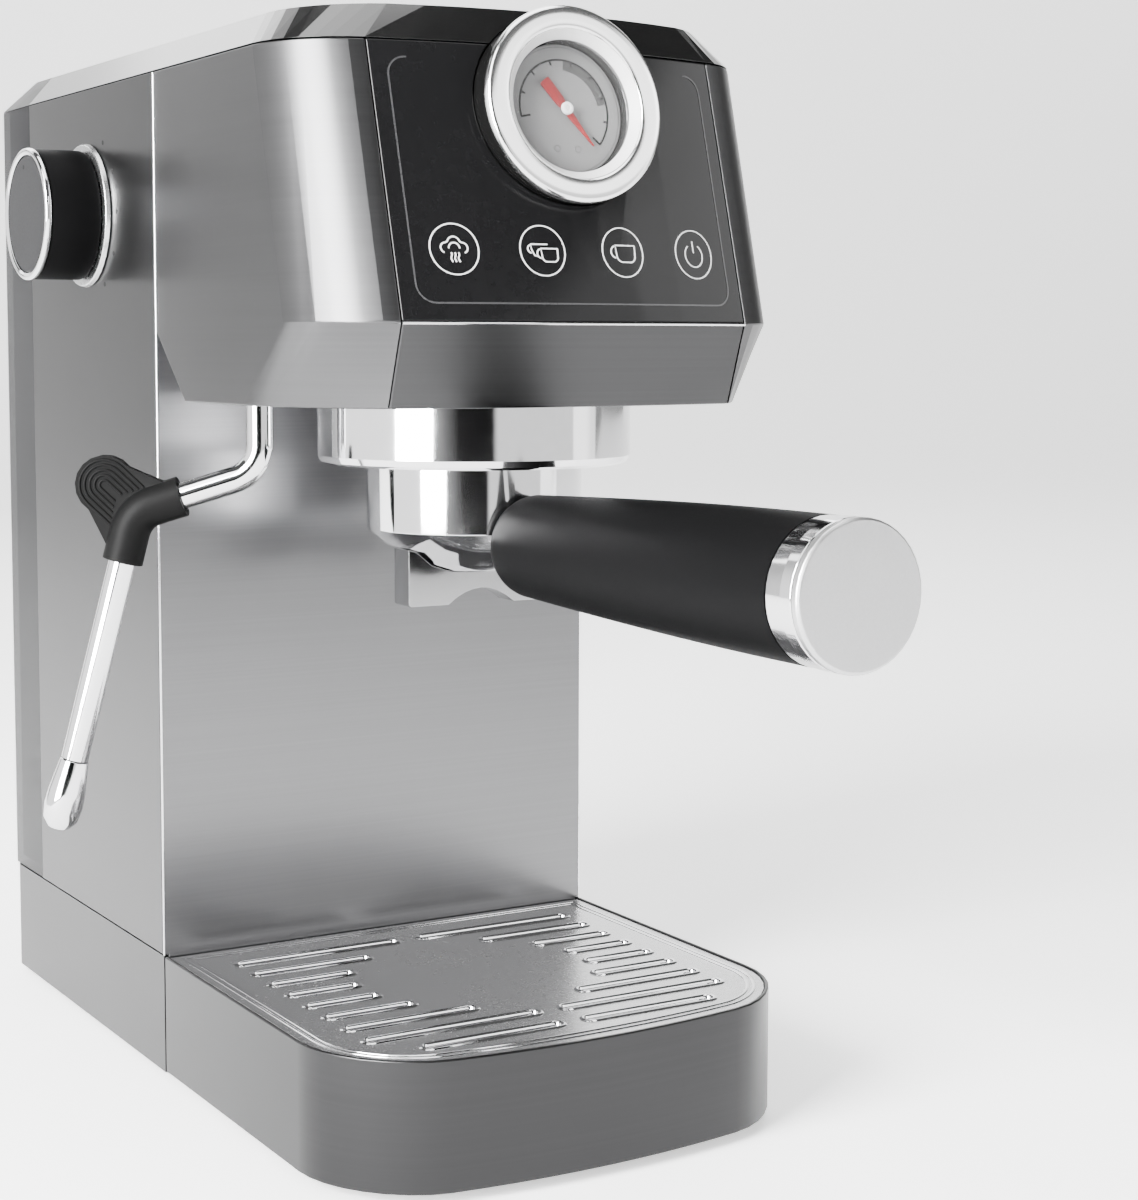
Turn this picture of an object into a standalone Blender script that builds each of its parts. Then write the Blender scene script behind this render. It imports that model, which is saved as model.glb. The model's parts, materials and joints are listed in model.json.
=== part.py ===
"""A slim espresso machine, built piece by piece for Blender 4.5.

Metres, +Z up. The front faces -Y, the steam knob and the steam wand are on the -X side.
Every sub-part is one object. Moving pieces hang from an empty that sits on their joint's axis.
Sizes below are in a body frame whose origin is on the machine's mid-plane, at the column's front
face and the lower edge of the base; the last step shifts the whole machine onto the floor.
"""

import math

import bmesh
import bpy
from mathutils import Matrix, Vector

MM = 0.001

# Fits
GAP = 0.3 * MM
SHEET = 1.2 * MM
WALL = 2.0 * MM

# Edges that turn by more degrees than this are shown sharp
SHARP_ANGLE = 28.0

# Overall body
HALF_WIDTH = 75.0 * MM
BASE_HEIGHT = 36.7 * MM
BODY_TOP = 305.0 * MM
SIDE_BACK = 116.1 * MM
BASE_BACK = 147.0 * MM
BASE_BACK_CORNER = 5.7 * MM

# Drip tray module, in front of the column
TRAY_LENGTH = 126.4 * MM
TRAY_CORNER = 29.1 * MM
TRAY_BOW = 9.5 * MM
TRAY_FLOOR_Z = 4.0 * MM
GRATE_DROP = 0.5 * MM
SLOT_PITCH = 12.5 * MM
SLOT_WIDTH = 3.6 * MM
SLOT_ROWS = 9
SLOT_FIRST_Y = -18.0 * MM
SLOT_REACH = 58.5 * MM
FRONT_SLOT_REACH = 47.0 * MM
CUP_DISC_RADIUS = 36.5 * MM
SLOT_MIDDLE_RIB = 4.0 * MM

# Base plate and feet
PLATE_THICKNESS = 2.5 * MM
FOOT_RADIUS = 8.5 * MM
FOOT_HEIGHT = 3.0 * MM
FOOT_INSET = 15.0 * MM

# Head
HEAD_HEIGHT = 97.4 * MM
CREASE_DROP = 74.6 * MM
HEAD_TOP_FRONT = -100.2 * MM
CREASE_FRONT = -120.8 * MM
HEAD_BOTTOM_FRONT = -112.9 * MM
HEAD_CORNER_WIDTH = 20.4 * MM
TOP_CORNER_LENGTH = 27.0 * MM
CREASE_CORNER_LENGTH = 29.0 * MM
BOTTOM_CORNER_LENGTH = 48.0 * MM
HEAD_BOW = 6.5 * MM
PANEL_THICKNESS = 3.0 * MM
CHAMFER_FRONT = -22.0 * MM
CHAMFER_RISE = 20.4 * MM
WINDOW_MARGIN = 6.5 * MM
FLOOR_SETBACK = 1.0 * MM

# Top cover
COVER_HEIGHT = 10.0 * MM
COVER_SIDE_INSET = 8.3 * MM
COVER_FRONT_LEAN = 3.6 * MM
COVER_CORNER_LENGTH = 32.0 * MM
COVER_WALL = 2.4 * MM
CUP_PLATE_MARGIN = 9.0 * MM
CUP_PLATE_RECESS = 1.8 * MM

# Pressure gauge
GAUGE_RADIUS = 27.25 * MM
GAUGE_FACE_WIDTH = 6.45 * MM
GAUGE_SLOPE_WIDTH = 2.5 * MM
GAUGE_CENTRE_DROP = 15.6 * MM
GAUGE_FRONT = -118.6 * MM
GAUGE_TILT = 10.85
GAUGE_HOUSING_DEPTH = 16.0 * MM
GAUGE_BACK_RADIUS = 14.0 * MM
GAUGE_DIAL_DEPTH = 7.2 * MM
BEZEL_OVERHANG = 0.6 * MM
BEZEL_EDGE_DEPTH = 2.6 * MM
BEZEL_SEAT_DEPTH = 4.2 * MM
BEZEL_SEAT_WIDTH = 3.7 * MM
DIAL_THICKNESS = 1.0 * MM
LENS_THICKNESS = 1.0 * MM
LENS_DEPTH = 3.2 * MM
GAUGE_STUB_LENGTH = 12.0 * MM
NEEDLE_ANGLE = -52.0
NEEDLE_LENGTH = 12.0 * MM
NEEDLE_TAIL = 10.0 * MM
NEEDLE_WIDTH = 3.2 * MM
NEEDLE_HUB_RADIUS = 1.7 * MM

# Group and portafilter
GROUP_Y = -61.0 * MM
COLLAR_RADIUS = 46.0 * MM
COLLAR_HEIGHT = 17.5 * MM
FILTER_RADIUS = 31.6 * MM
FILTER_BOTTOM_DROP = 37.4 * MM
BASKET_RADIUS = 26.0 * MM
BASKET_DEPTH = 24.0 * MM
BASKET_WALL = 0.8 * MM
DRAIN_RADIUS = 3.0 * MM
DRAIN_DROP = 12.2 * MM
COLLAR_LIP_HEIGHT = 3.6 * MM
COLLAR_LIP_GAP = 1.6 * MM
EAR_REACH = 5.0 * MM
EAR_THICKNESS = 5.0 * MM
EAR_LIFT = 0.5 * MM
EAR_SPREAD = 34.0
EAR_ANGLES = (0.0, 180.0)
UNLOCK_ANGLE = 45.0
BOILER_RADIUS = 39.0 * MM
BOILER_HEIGHT = 44.0 * MM
SPOUT_HALF_LENGTH = 24.0 * MM
SPOUT_HALF_DEPTH = 4.6 * MM
SPOUT_DROP = 21.7 * MM
SPOUT_ARCH = 4.6 * MM
SPOUT_ARCH_HALF = 11.0 * MM

# Handle
HANDLE_DROP = 39.8 * MM
HANDLE_STANDOFF = 0.8 * MM
HANDLE_LENGTH = 148.5 * MM
HANDLE_SHOULDER = 5.0 * MM
HANDLE_NEAR_RADIUS = 14.6 * MM
HANDLE_FAR_RADIUS = 18.0 * MM
HANDLE_CAP_RADIUS = 18.2 * MM
HANDLE_RING_LENGTH = 12.8 * MM
HANDLE_CAP_THICKNESS = 2.4 * MM
NECK_RADIUS = 8.0 * MM
NECK_LENGTH = 10.0 * MM
STUD_RADIUS = 4.0 * MM

# Steam wand
WAND_SIDE_INSET = 13.3 * MM
WAND_Y = -46.0 * MM
WAND_RADIUS = 3.9 * MM
WAND_HEADING = 30.0
WAND_ELBOW_DROP = 19.6 * MM
WAND_ARM_REACH = 36.3 * MM
WAND_ARM_FALL = 11.4 * MM
WAND_TIP_REACH = 54.6 * MM
WAND_TIP_FALL = 103.0 * MM
WAND_ROOT_LENGTH = 14.0 * MM
SOCKET_RADIUS = 9.0 * MM
SOCKET_LENGTH = 7.0 * MM
NOZZLE_LENGTH = 21.0 * MM
NOZZLE_RADIUS = 5.4 * MM
GRIP_RADIUS = 5.9 * MM
GRIP_START_SHARE = 0.62
GRIP_END_SHARE = 0.20
WAND_BEND = 11.0 * MM
TAB_RADIUS = 8.5 * MM
TAB_REACH = 11.2 * MM
TAB_THICKNESS = 4.4 * MM
TAB_FLANK_SPREAD = 5.0 * MM
TAB_ROOT_DEPTH = 4.0 * MM
BORE_OVERRUN_SHARE = 0.1

# Steam knob
KNOB_Y = 59.5 * MM
KNOB_DROP = 39.8 * MM
KNOB_RADIUS = 20.5 * MM
KNOB_LENGTH = 20.6 * MM
KNOB_PLATE_RADIUS = 22.9 * MM
KNOB_PLATE_THICKNESS = 1.6 * MM
KNOB_PLATE_HOLE = 12.0 * MM
KNOB_FRONT_DEPTH = 2.4 * MM
KNOB_RING_WIDTH = 1.9 * MM
KNOB_RING_PROUD = 0.3 * MM
KNOB_FACE_SINK = 0.5 * MM
KNOB_BORE_DEPTH = 10.0 * MM
STEM_RADIUS = 3.0 * MM
STEM_LENGTH = 34.0 * MM
STEAM_VALVE_RADIUS = 9.0 * MM
STEAM_VALVE_LENGTH = 30.0 * MM
STEM_SEATING = 8.0 * MM

# Water tank
TANK_BACK = 150.0 * MM
TANK_SIDE_INSET = 0.4 * MM
TANK_WALL = 2.2 * MM
TANK_CORNER = 5.0 * MM
LID_BACK_INSET = 8.0 * MM
LID_CORNER = 11.0 * MM
HINGE_RADIUS = 2.3 * MM
HINGE_PIN_RADIUS = 1.2 * MM
HINGE_HALF_SPAN = 28.0 * MM
HINGE_KNUCKLE = 6.0 * MM
VALVE_RADIUS = 5.0 * MM
VALVE_DROP = 5.0 * MM
SEAT_DEPTH = 12.0 * MM

# Inside the base and the column
PUMP_RADIUS = 12.5 * MM
PUMP_LENGTH = 62.0 * MM
PUMP_FRONT = 24.0 * MM
PUMP_SIDE = 22.0 * MM
PUMP_NOSE_RADIUS = 0.45 * PUMP_RADIUS
PUMP_NOSE_LENGTH = 10.0 * MM
MOUNT_WIDTH = 6.0 * MM
HOSE_RADIUS = 3.0 * MM
HOSE_OFFSET = 2.0 * MM
BOARD_HALF_WIDTH = 46.0 * MM
BOARD_HEIGHT = 84.0 * MM
BOARD_THICKNESS = 1.6 * MM
BOARD_LIFT = 60.0 * MM
BOARD_STANDOFF = 8.0 * MM
INLET_RADIUS = 6.0 * MM
INLET_NECK_RADIUS = 4.5 * MM
INLET_BORE = 2.8 * MM
INLET_DEPTH = 8.0 * MM
INLET_COLLAR = 3.0 * MM
INLET_SIDE = 38.0 * MM
INLET_Z = 16.0 * MM

# Derived sizes
PLATE_FRONT = TRAY_CORNER - TRAY_LENGTH + 1.0 * MM
CREASE_Z = BODY_TOP - CREASE_DROP
HEAD_BOTTOM = BODY_TOP - HEAD_HEIGHT
FRONT_HALF = HALF_WIDTH - HEAD_CORNER_WIDTH
GRATE_TOP = BASE_HEIGHT - GRATE_DROP
COLLAR_TOP = HEAD_BOTTOM - GAP
COLLAR_BOTTOM = COLLAR_TOP - COLLAR_HEIGHT
FILTER_BOTTOM = HEAD_BOTTOM - FILTER_BOTTOM_DROP
FILTER_RIM = HEAD_BOTTOM - 6.2 * MM
COVER_TOP = BODY_TOP + COVER_HEIGHT
HINGE_Y = TANK_BACK + HINGE_RADIUS + GAP
HINGE_Z = BODY_TOP
PUMP_Z = BASE_HEIGHT / 2
GAUGE_WINDOW_RADIUS = GAUGE_RADIUS - GAUGE_FACE_WIDTH
GAUGE_DIAL_RADIUS = GAUGE_WINDOW_RADIUS - GAUGE_SLOPE_WIDTH
VALVE_Y = (SIDE_BACK + TANK_BACK) / 2
HEAD_FLOOR_Z = HEAD_BOTTOM + 0.8 * MM
CHAMFER_SLOPE = CHAMFER_RISE / -CHAMFER_FRONT
SEAT_RADIUS = VALVE_RADIUS + 4.0 * MM

# Colour, roughness and metallic value of each finish
FINISHES = {
    "brushed_steel": ((0.46, 0.46, 0.47), 0.34, 1.0),
    "bright_steel": ((0.60, 0.60, 0.61), 0.20, 1.0),
    "chrome": ((0.82, 0.82, 0.83), 0.06, 1.0),
    "satin_metal": ((0.62, 0.62, 0.63), 0.30, 1.0),
    "aluminium": ((0.70, 0.70, 0.71), 0.35, 1.0),
    "brass": ((0.72, 0.55, 0.26), 0.30, 1.0),
    "gloss_black": ((0.012, 0.012, 0.013), 0.07, 0.0),
    "black_glass": ((0.014, 0.014, 0.016), 0.05, 0.0),
    "matte_black": ((0.022, 0.022, 0.023), 0.48, 0.0),
    "black_rubber": ((0.020, 0.020, 0.020), 0.75, 0.0),
    "red_rubber": ((0.42, 0.09, 0.06), 0.60, 0.0),
    "smoke_plastic": ((0.07, 0.07, 0.08), 0.12, 0.0),
    "dial_grey": ((0.55, 0.55, 0.55), 0.50, 0.0),
    "needle_red": ((0.42, 0.035, 0.04), 0.45, 0.0),
    "white_plastic": ((0.72, 0.72, 0.72), 0.40, 0.0),
    "clear_lens": ((0.92, 0.93, 0.94), 0.03, 0.0),
    "knob_grey": ((0.16, 0.16, 0.165), 0.45, 0.0),
    "board_green": ((0.03, 0.16, 0.07), 0.50, 0.0),
}


# ---------------------------------------------------------------- shapes


def closed_loft(loops):
    """Vertices and faces of the solid through these loops, with the first and last loop capped."""
    count = len(loops[0])
    verts = [point for loop in loops for point in loop]
    faces = [tuple(range(count)), tuple((len(loops) - 1) * count + i for i in range(count))]
    for level in range(len(loops) - 1):
        for i in range(count):
            a = level * count + i
            b = level * count + (i + 1) % count
            faces.append((a, b, b + count, a + count))
    return verts, faces


def at_height(outline, z):
    return [(x, y, z) for x, y in outline]


def prism(outline, z_low, z_high):
    """A plan outline raised from z_low to z_high."""
    return closed_loft([at_height(outline, z_low), at_height(outline, z_high)])


def side_prism(outline, x_low, x_high):
    """An outline of (y, z) points carried along X."""
    return closed_loft([[(x, y, z) for y, z in outline] for x in (x_low, x_high)])


def block(low, high):
    """A box between two corners."""
    outline = [(low[0], low[1]), (high[0], low[1]), (high[0], high[1]), (low[0], high[1])]
    return prism(outline, low[2], high[2])


def sheet_loft(outer_levels, inner_levels):
    """A sheet between matching outer and inner paths, each given from the bottom level to the top."""
    loops = []
    for i in range(len(outer_levels[0])):
        outside = [level[i] for level in outer_levels]
        inside = [level[i] for level in reversed(inner_levels)]
        loops.append(outside + inside)
    return closed_loft(loops)


def lathe(profile, origin, axis=(0, 0, 1), steps=32):
    """A solid of revolution from a closed (radius, height) profile; a radius of 0 lies on the axis."""
    turn = Vector((0, 0, 1)).rotation_difference(Vector(axis).normalized()).to_matrix()
    verts = []
    rows = []
    for radius, height in profile:
        ring = []
        for i in range(1 if radius < 1e-7 else steps):
            angle = 2 * math.pi * i / steps
            local = Vector((radius * math.cos(angle), radius * math.sin(angle), height))
            ring.append(len(verts))
            verts.append(Vector(origin) + turn @ local)
        rows.append(ring)
    faces = []
    for here, there in zip(rows, rows[1:] + rows[:1]):
        if len(here) == 1 and len(there) == 1:
            continue
        for i in range(steps):
            j = (i + 1) % steps
            corners = [here[i % len(here)], here[j % len(here)], there[j % len(there)], there[i % len(there)]]
            faces.append(tuple(dict.fromkeys(corners)))
    return verts, faces


def sweep(path, radius, across, steps=12):
    """A round bar along a path that lies in the plane square to the direction `across`."""
    across = Vector(across).normalized()
    points = [Vector(p) for p in path]
    loops = []
    for i, point in enumerate(points):
        before = points[max(i - 1, 0)]
        after = points[min(i + 1, len(points) - 1)]
        along = (after - before).normalized()
        up = across.cross(along)
        loops.append(
            [
                point + radius * (math.cos(a) * across + math.sin(a) * up)
                for a in (2 * math.pi * k / steps for k in range(steps))
            ]
        )
    return closed_loft(loops)


def rounded_path(corners, radius, steps=8):
    """The corner points of a path with each inner corner replaced by an arc."""
    points = [Vector(c) for c in corners]
    path = [points[0]]
    for before, corner, after in zip(points, points[1:], points[2:]):
        arriving = (corner - before).normalized()
        leaving = (after - corner).normalized()
        bend = arriving.angle(leaving)
        cut_back = radius * math.tan(bend / 2)
        middle = (leaving - arriving).normalized()
        centre = corner + middle * (radius / math.cos(bend / 2))
        start = corner - arriving * cut_back - centre
        axis = arriving.cross(leaving)
        for k in range(steps + 1):
            path.append(centre + Matrix.Rotation(bend * k / steps, 3, axis) @ start)
    path.append(points[-1])
    return path


def u_path(half, open_y, closed_y, corner_x, corner_y, arc_steps=7, across=7):
    """A plan path from (-half, open_y) round two corners at closed_y to (half, open_y)."""
    away = 1 if closed_y > open_y else -1
    left = []
    for k in range(arc_steps + 1):
        angle = math.radians(90) * k / arc_steps
        x = -half + corner_x * (1 - math.cos(angle))
        left.append((x, closed_y - away * corner_y * (1 - math.sin(angle))))
    flat = half - corner_x
    middle = [(-flat + 2 * flat * k / (across + 1), closed_y) for k in range(1, across + 1)]
    right = [(-x, y) for x, y in reversed(left)]
    return [(-half, open_y)] + left + middle + right + [(half, open_y)]


def offset_path(path, distance):
    """The path moved to its left by a distance, with mitred corners."""
    moved = []
    for i, (x, y) in enumerate(path):
        normals = []
        for a, b in ((i - 1, i), (i, i + 1)):
            if a < 0 or b >= len(path):
                continue
            along = Vector(path[b]) - Vector(path[a])
            normals.append(Vector((-along.y, along.x)).normalized())
        mean = sum(normals, Vector((0, 0))).normalized()
        moved.append(tuple(Vector((x, y)) + mean * (distance / mean.dot(normals[0]))))
    return moved


# ---------------------------------------------------------------- objects


def start_clean():
    for old in list(bpy.data.objects):
        bpy.data.objects.remove(old)


def make_material(name, finish):
    colour, roughness, metallic = FINISHES[finish]
    material = bpy.data.materials.new(name)
    material.use_nodes = True
    shader = material.node_tree.nodes["Principled BSDF"]
    shader.inputs["Base Color"].default_value = (*colour, 1.0)
    shader.inputs["Roughness"].default_value = roughness
    shader.inputs["Metallic"].default_value = metallic
    material.diffuse_color = (*colour, 1.0)
    return material


def make_mesh(name, shape):
    verts, faces = shape
    mesh = bpy.data.meshes.new(name)
    mesh.from_pydata([tuple(v) for v in verts], [], faces)
    work = bmesh.new()
    work.from_mesh(mesh)
    bmesh.ops.recalc_face_normals(work, faces=work.faces)
    work.to_mesh(mesh)
    work.free()
    mesh.shade_smooth()
    mesh.set_sharp_from_angle(angle=math.radians(SHARP_ANGLE))
    return mesh


def hang(obj, group):
    """Parents obj to a group's empty and leaves it where it is."""
    obj.parent = group
    obj.matrix_parent_inverse = group.matrix_world.inverted()


def piece(name, shape, finish, group):
    """One sub-part: a closed mesh with its own material, riding on its group's empty."""
    obj = bpy.data.objects.new(name, make_mesh(name, shape))
    bpy.context.scene.collection.objects.link(obj)
    obj.data.materials.append(make_material(name, finish))
    hang(obj, group)
    return obj


def apply_boolean(obj, name, shape, operation):
    """Adds a Boolean modifier whose other mesh is a hidden helper object."""
    helper = bpy.data.objects.new(f"{obj.name}_{name}", make_mesh(name, shape))
    bpy.context.scene.collection.objects.link(helper)
    helper.hide_render = True
    helper.display_type = "WIRE"
    hang(helper, obj.parent)
    modifier = obj.modifiers.new(name, "BOOLEAN")
    modifier.operation = operation
    modifier.solver = "EXACT"
    modifier.object = helper


def cut(obj, name, shape):
    apply_boolean(obj, name, shape, "DIFFERENCE")


def join(obj, name, shape):
    apply_boolean(obj, name, shape, "UNION")


def add_group(name, location, parent):
    """An empty on a joint's axis; the root group has no parent."""
    empty = bpy.data.objects.new(name, None)
    bpy.context.scene.collection.objects.link(empty)
    empty.empty_display_size = 20 * MM
    empty.location = location
    bpy.context.view_layer.update()
    if parent is not None:
        hang(empty, parent)
        bpy.context.view_layer.update()
    return empty


# ---------------------------------------------------------------- base and drip tray


def tray_path(inset, back):
    """The plan path of the front module: straight sides, round corners and a bowed front."""
    corner = TRAY_CORNER - inset
    flat = u_path(HALF_WIDTH - inset, back, -TRAY_LENGTH + inset, corner, corner, 8, 9)
    bowed = []
    for x, y in flat:
        share = min(1.0, max(0.0, -y / TRAY_LENGTH)) ** 4
        bowed.append((x, y - TRAY_BOW * (1 - (x / HALF_WIDTH) ** 2) * share))
    return bowed


def build_base(root):
    outer = u_path(HALF_WIDTH, GAP, BASE_BACK, BASE_BACK_CORNER, BASE_BACK_CORNER)
    inner_corner = BASE_BACK_CORNER - SHEET
    inner = u_path(HALF_WIDTH - SHEET, GAP - WALL, BASE_BACK - SHEET, inner_corner, inner_corner)
    base = piece("base_shell", prism(outer, 0, BASE_HEIGHT), "brushed_steel", root)
    cut(base, "hollow", prism(inner, -WALL, BASE_HEIGHT - SHEET))
    deck_edge = HALF_WIDTH - SHEET - GAP / 2
    deck_low = BASE_HEIGHT - 2 * SHEET
    cut(base, "deck_edge", block((-deck_edge, -WALL, deck_low), (deck_edge, SHEET + GAP, BASE_HEIGHT + WALL)))
    seat = SEAT_RADIUS + GAP
    hole = [(0, -WALL), (seat, -WALL), (seat, WALL), (0, WALL)]
    cut(base, "valve_hole", lathe(hole, (0, VALVE_Y, BASE_HEIGHT), steps=24))
    gland = [(0, -2 * WALL), (INLET_NECK_RADIUS, -2 * WALL), (INLET_NECK_RADIUS, WALL), (0, WALL)]
    cut(base, "gland_hole", lathe(gland, (INLET_SIDE, BASE_BACK, INLET_Z), (0, 1, 0), 16))

    clear = SHEET + GAP
    plate = u_path(HALF_WIDTH - clear, PLATE_FRONT, BASE_BACK - clear, BASE_BACK_CORNER, BASE_BACK_CORNER)
    piece("base_plate", prism(plate, 0, PLATE_THICKNESS), "matte_black", root)
    bevel = 0.8 * MM
    for i, (side, y) in enumerate(
        [
            (-1, PLATE_FRONT + FOOT_INSET),
            (1, PLATE_FRONT + FOOT_INSET),
            (-1, BASE_BACK - FOOT_INSET),
            (1, BASE_BACK - FOOT_INSET),
        ]
    ):
        profile = [(0, -FOOT_HEIGHT), (FOOT_RADIUS - bevel, -FOOT_HEIGHT), (FOOT_RADIUS, bevel - FOOT_HEIGHT)]
        profile += [(FOOT_RADIUS, -GAP), (0, -GAP)]
        x = side * (HALF_WIDTH - FOOT_INSET)
        piece(f"foot_{i + 1}", lathe(profile, (x, y, 0), steps=24), "black_rubber", root)


def build_tray(tray):
    levels = (GAP, BASE_HEIGHT)
    outer = [at_height(tray_path(0, -GAP), z) for z in levels]
    inner = [at_height(tray_path(SHEET, -GAP), z) for z in levels]
    piece("tray_skin", sheet_loft(outer, inner), "brushed_steel", tray)

    rim = GRATE_TOP - SHEET - GAP
    back = -2 * GAP
    outside = tray_path(SHEET + GAP, back)
    inside = tray_path(SHEET + GAP + WALL, back - WALL)
    shell = closed_loft(
        [
            at_height(outside, TRAY_FLOOR_Z),
            at_height(outside, rim),
            at_height(inside, rim),
            at_height(inside, TRAY_FLOOR_Z + WALL),
        ]
    )
    piece("drip_tray", shell, "matte_black", tray)


def slot_outline(x_low, x_high, y, steps=5):
    radius = SLOT_WIDTH / 2
    outline = []
    for centre, start in ((x_high - radius, -90), (x_low + radius, 90)):
        for k in range(steps + 1):
            angle = math.radians(start + 180 * k / steps)
            outline.append((centre + radius * math.cos(angle), y + radius * math.sin(angle)))
    return outline


def slot_spans(y, last):
    """The left and right slot of one row; they stop short of the solid disc under the cup."""
    reach = FRONT_SLOT_REACH if last else SLOT_REACH
    reach = min(reach, HALF_WIDTH - 4 * SLOT_WIDTH)
    across = CUP_DISC_RADIUS**2 - (y - GROUP_Y) ** 2
    inner = max(SLOT_MIDDLE_RIB, math.sqrt(max(across, 0)))
    return [(-reach, -inner), (inner, reach)]


def build_grate(grate):
    outline = tray_path(SHEET + GAP, -3 * GAP)
    plate = piece("drip_grate", prism(outline, GRATE_TOP - SHEET, GRATE_TOP), "bright_steel", grate)
    verts = []
    faces = []
    for row in range(SLOT_ROWS):
        y = SLOT_FIRST_Y - row * SLOT_PITCH
        for x_low, x_high in slot_spans(y, row == SLOT_ROWS - 1):
            more_verts, more_faces = prism(slot_outline(x_low, x_high, y), GRATE_TOP - WALL, GRATE_TOP + WALL)
            faces += [tuple(i + len(verts) for i in face) for face in more_faces]
            verts += more_verts
    cut(plate, "slots", (verts, faces))


# ---------------------------------------------------------------- column and head


def build_column(root):
    low = PLATE_THICKNESS + GAP
    front = block((-HALF_WIDTH, 0, low), (HALF_WIDTH, SHEET, BODY_TOP))
    column = piece("column_front", front, "brushed_steel", root)
    duct = block(
        (-0.4 * HALF_WIDTH, -WALL, CREASE_Z + 5 * MM), (0.4 * HALF_WIDTH, 2 * WALL, BODY_TOP - 15 * MM)
    )
    cut(column, "duct", duct)
    inner_half = HALF_WIDTH - SHEET - GAP
    for i, side in enumerate((-1, 1)):
        near, far = sorted((side * inner_half, side * (HALF_WIDTH + WALL)))
        cut(column, f"base_step_{i}", block((near, -WALL, 0), (far, 2 * WALL, BASE_HEIGHT + GAP)))

    for name, side in (("side_panel_left", -1), ("side_panel_right", 1)):
        outline = side_panel_outline(side)
        panel = piece(name, prism(outline, BASE_HEIGHT + GAP, BODY_TOP), "brushed_steel", root)
        if side < 0:
            hole = STEM_RADIUS + 1 * MM
            bore = [(0, -WALL), (hole, -WALL), (hole, 3 * WALL), (0, 3 * WALL)]
            cut(panel, "stem_hole", lathe(bore, (-HALF_WIDTH - WALL, KNOB_Y, knob_z()), (1, 0, 0), 20))

    back = SIDE_BACK - SHEET - GAP
    wall = block((-inner_half, back - WALL, BASE_HEIGHT + GAP), (inner_half, back, BODY_TOP - GAP))
    piece("rear_wall", wall, "matte_black", root)


def side_panel_outline(side):
    """A flat side with its rear edge folded inwards over the rear wall."""
    fold = 12 * MM
    front = SHEET + GAP
    x = side * HALF_WIDTH
    inner = side * (HALF_WIDTH - SHEET)
    folded = side * (HALF_WIDTH - fold)
    return [
        (x, front),
        (x, SIDE_BACK),
        (folded, SIDE_BACK),
        (folded, SIDE_BACK - SHEET),
        (inner, SIDE_BACK - SHEET),
        (inner, front),
    ]


def knob_z():
    return BODY_TOP - KNOB_DROP


def bowed_front(front_y, half, bow, count=9):
    """Plan points across the bowed front, from -half to half."""
    points = []
    for k in range(count + 1):
        x = -half + 2 * half * k / count
        points.append((x, front_y - bow * (1 - (x / half) ** 2)))
    return points


def corner_arc(half, front_y, width, length, steps=8):
    """The left corner in plan: an arc that leaves the side smoothly and ends at the front panel's edge."""
    radius = (width**2 + length**2) / (2 * width)
    sweep_angle = math.asin(length / radius)
    start = front_y + length
    arc = []
    for k in range(steps + 1):
        angle = sweep_angle * k / steps
        arc.append((-half + radius * (1 - math.cos(angle)), start - radius * math.sin(angle)))
    return arc


def head_path(front_y, corner_length):
    """The head's whole plan path, with the front set back to take the panels."""
    recess = PANEL_THICKNESS + GAP
    left = [(-HALF_WIDTH, -GAP), (-HALF_WIDTH, CHAMFER_FRONT)]
    left += corner_arc(HALF_WIDTH, front_y, HEAD_CORNER_WIDTH, corner_length)
    right = [(-x, y) for x, y in reversed(left)]
    return left + bowed_front(front_y + recess, FRONT_HALF, HEAD_BOW) + right


def head_level(path, z, is_bottom):
    """The path at a height; at the bottom, its rear rises along the chamfer to the column."""
    if not is_bottom:
        return at_height(path, z)
    return [(x, y, z + max(0.0, y - CHAMFER_FRONT) * CHAMFER_SLOPE) for x, y in path]


def gauge_axis():
    tilt = math.radians(GAUGE_TILT)
    return Vector((0, -math.cos(tilt), math.sin(tilt)))


def gauge_centre():
    return Vector((0, GAUGE_FRONT, BODY_TOP - GAUGE_CENTRE_DROP))


def gauge_cutter():
    """The space that the gauge housing takes through the glass, the head and the top cover."""
    radius = gauge_housing_radius() + GAP
    depth = GAUGE_HOUSING_DEPTH + GAP
    profile = [(0, -depth), (radius, -depth), (radius, 5 * MM), (0, 5 * MM)]
    return lathe(profile, gauge_centre(), gauge_axis(), 48)


def gauge_back_cutter():
    """The space behind the housing's flange."""
    radius = GAUGE_BACK_RADIUS + GAP
    deep = GAUGE_HOUSING_DEPTH + 20 * MM
    profile = [(0, -deep), (radius, -deep), (radius, 0), (0, 0)]
    return lathe(profile, gauge_centre(), gauge_axis(), 32)


def gauge_housing_radius():
    return GAUGE_RADIUS - BEZEL_OVERHANG


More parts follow.
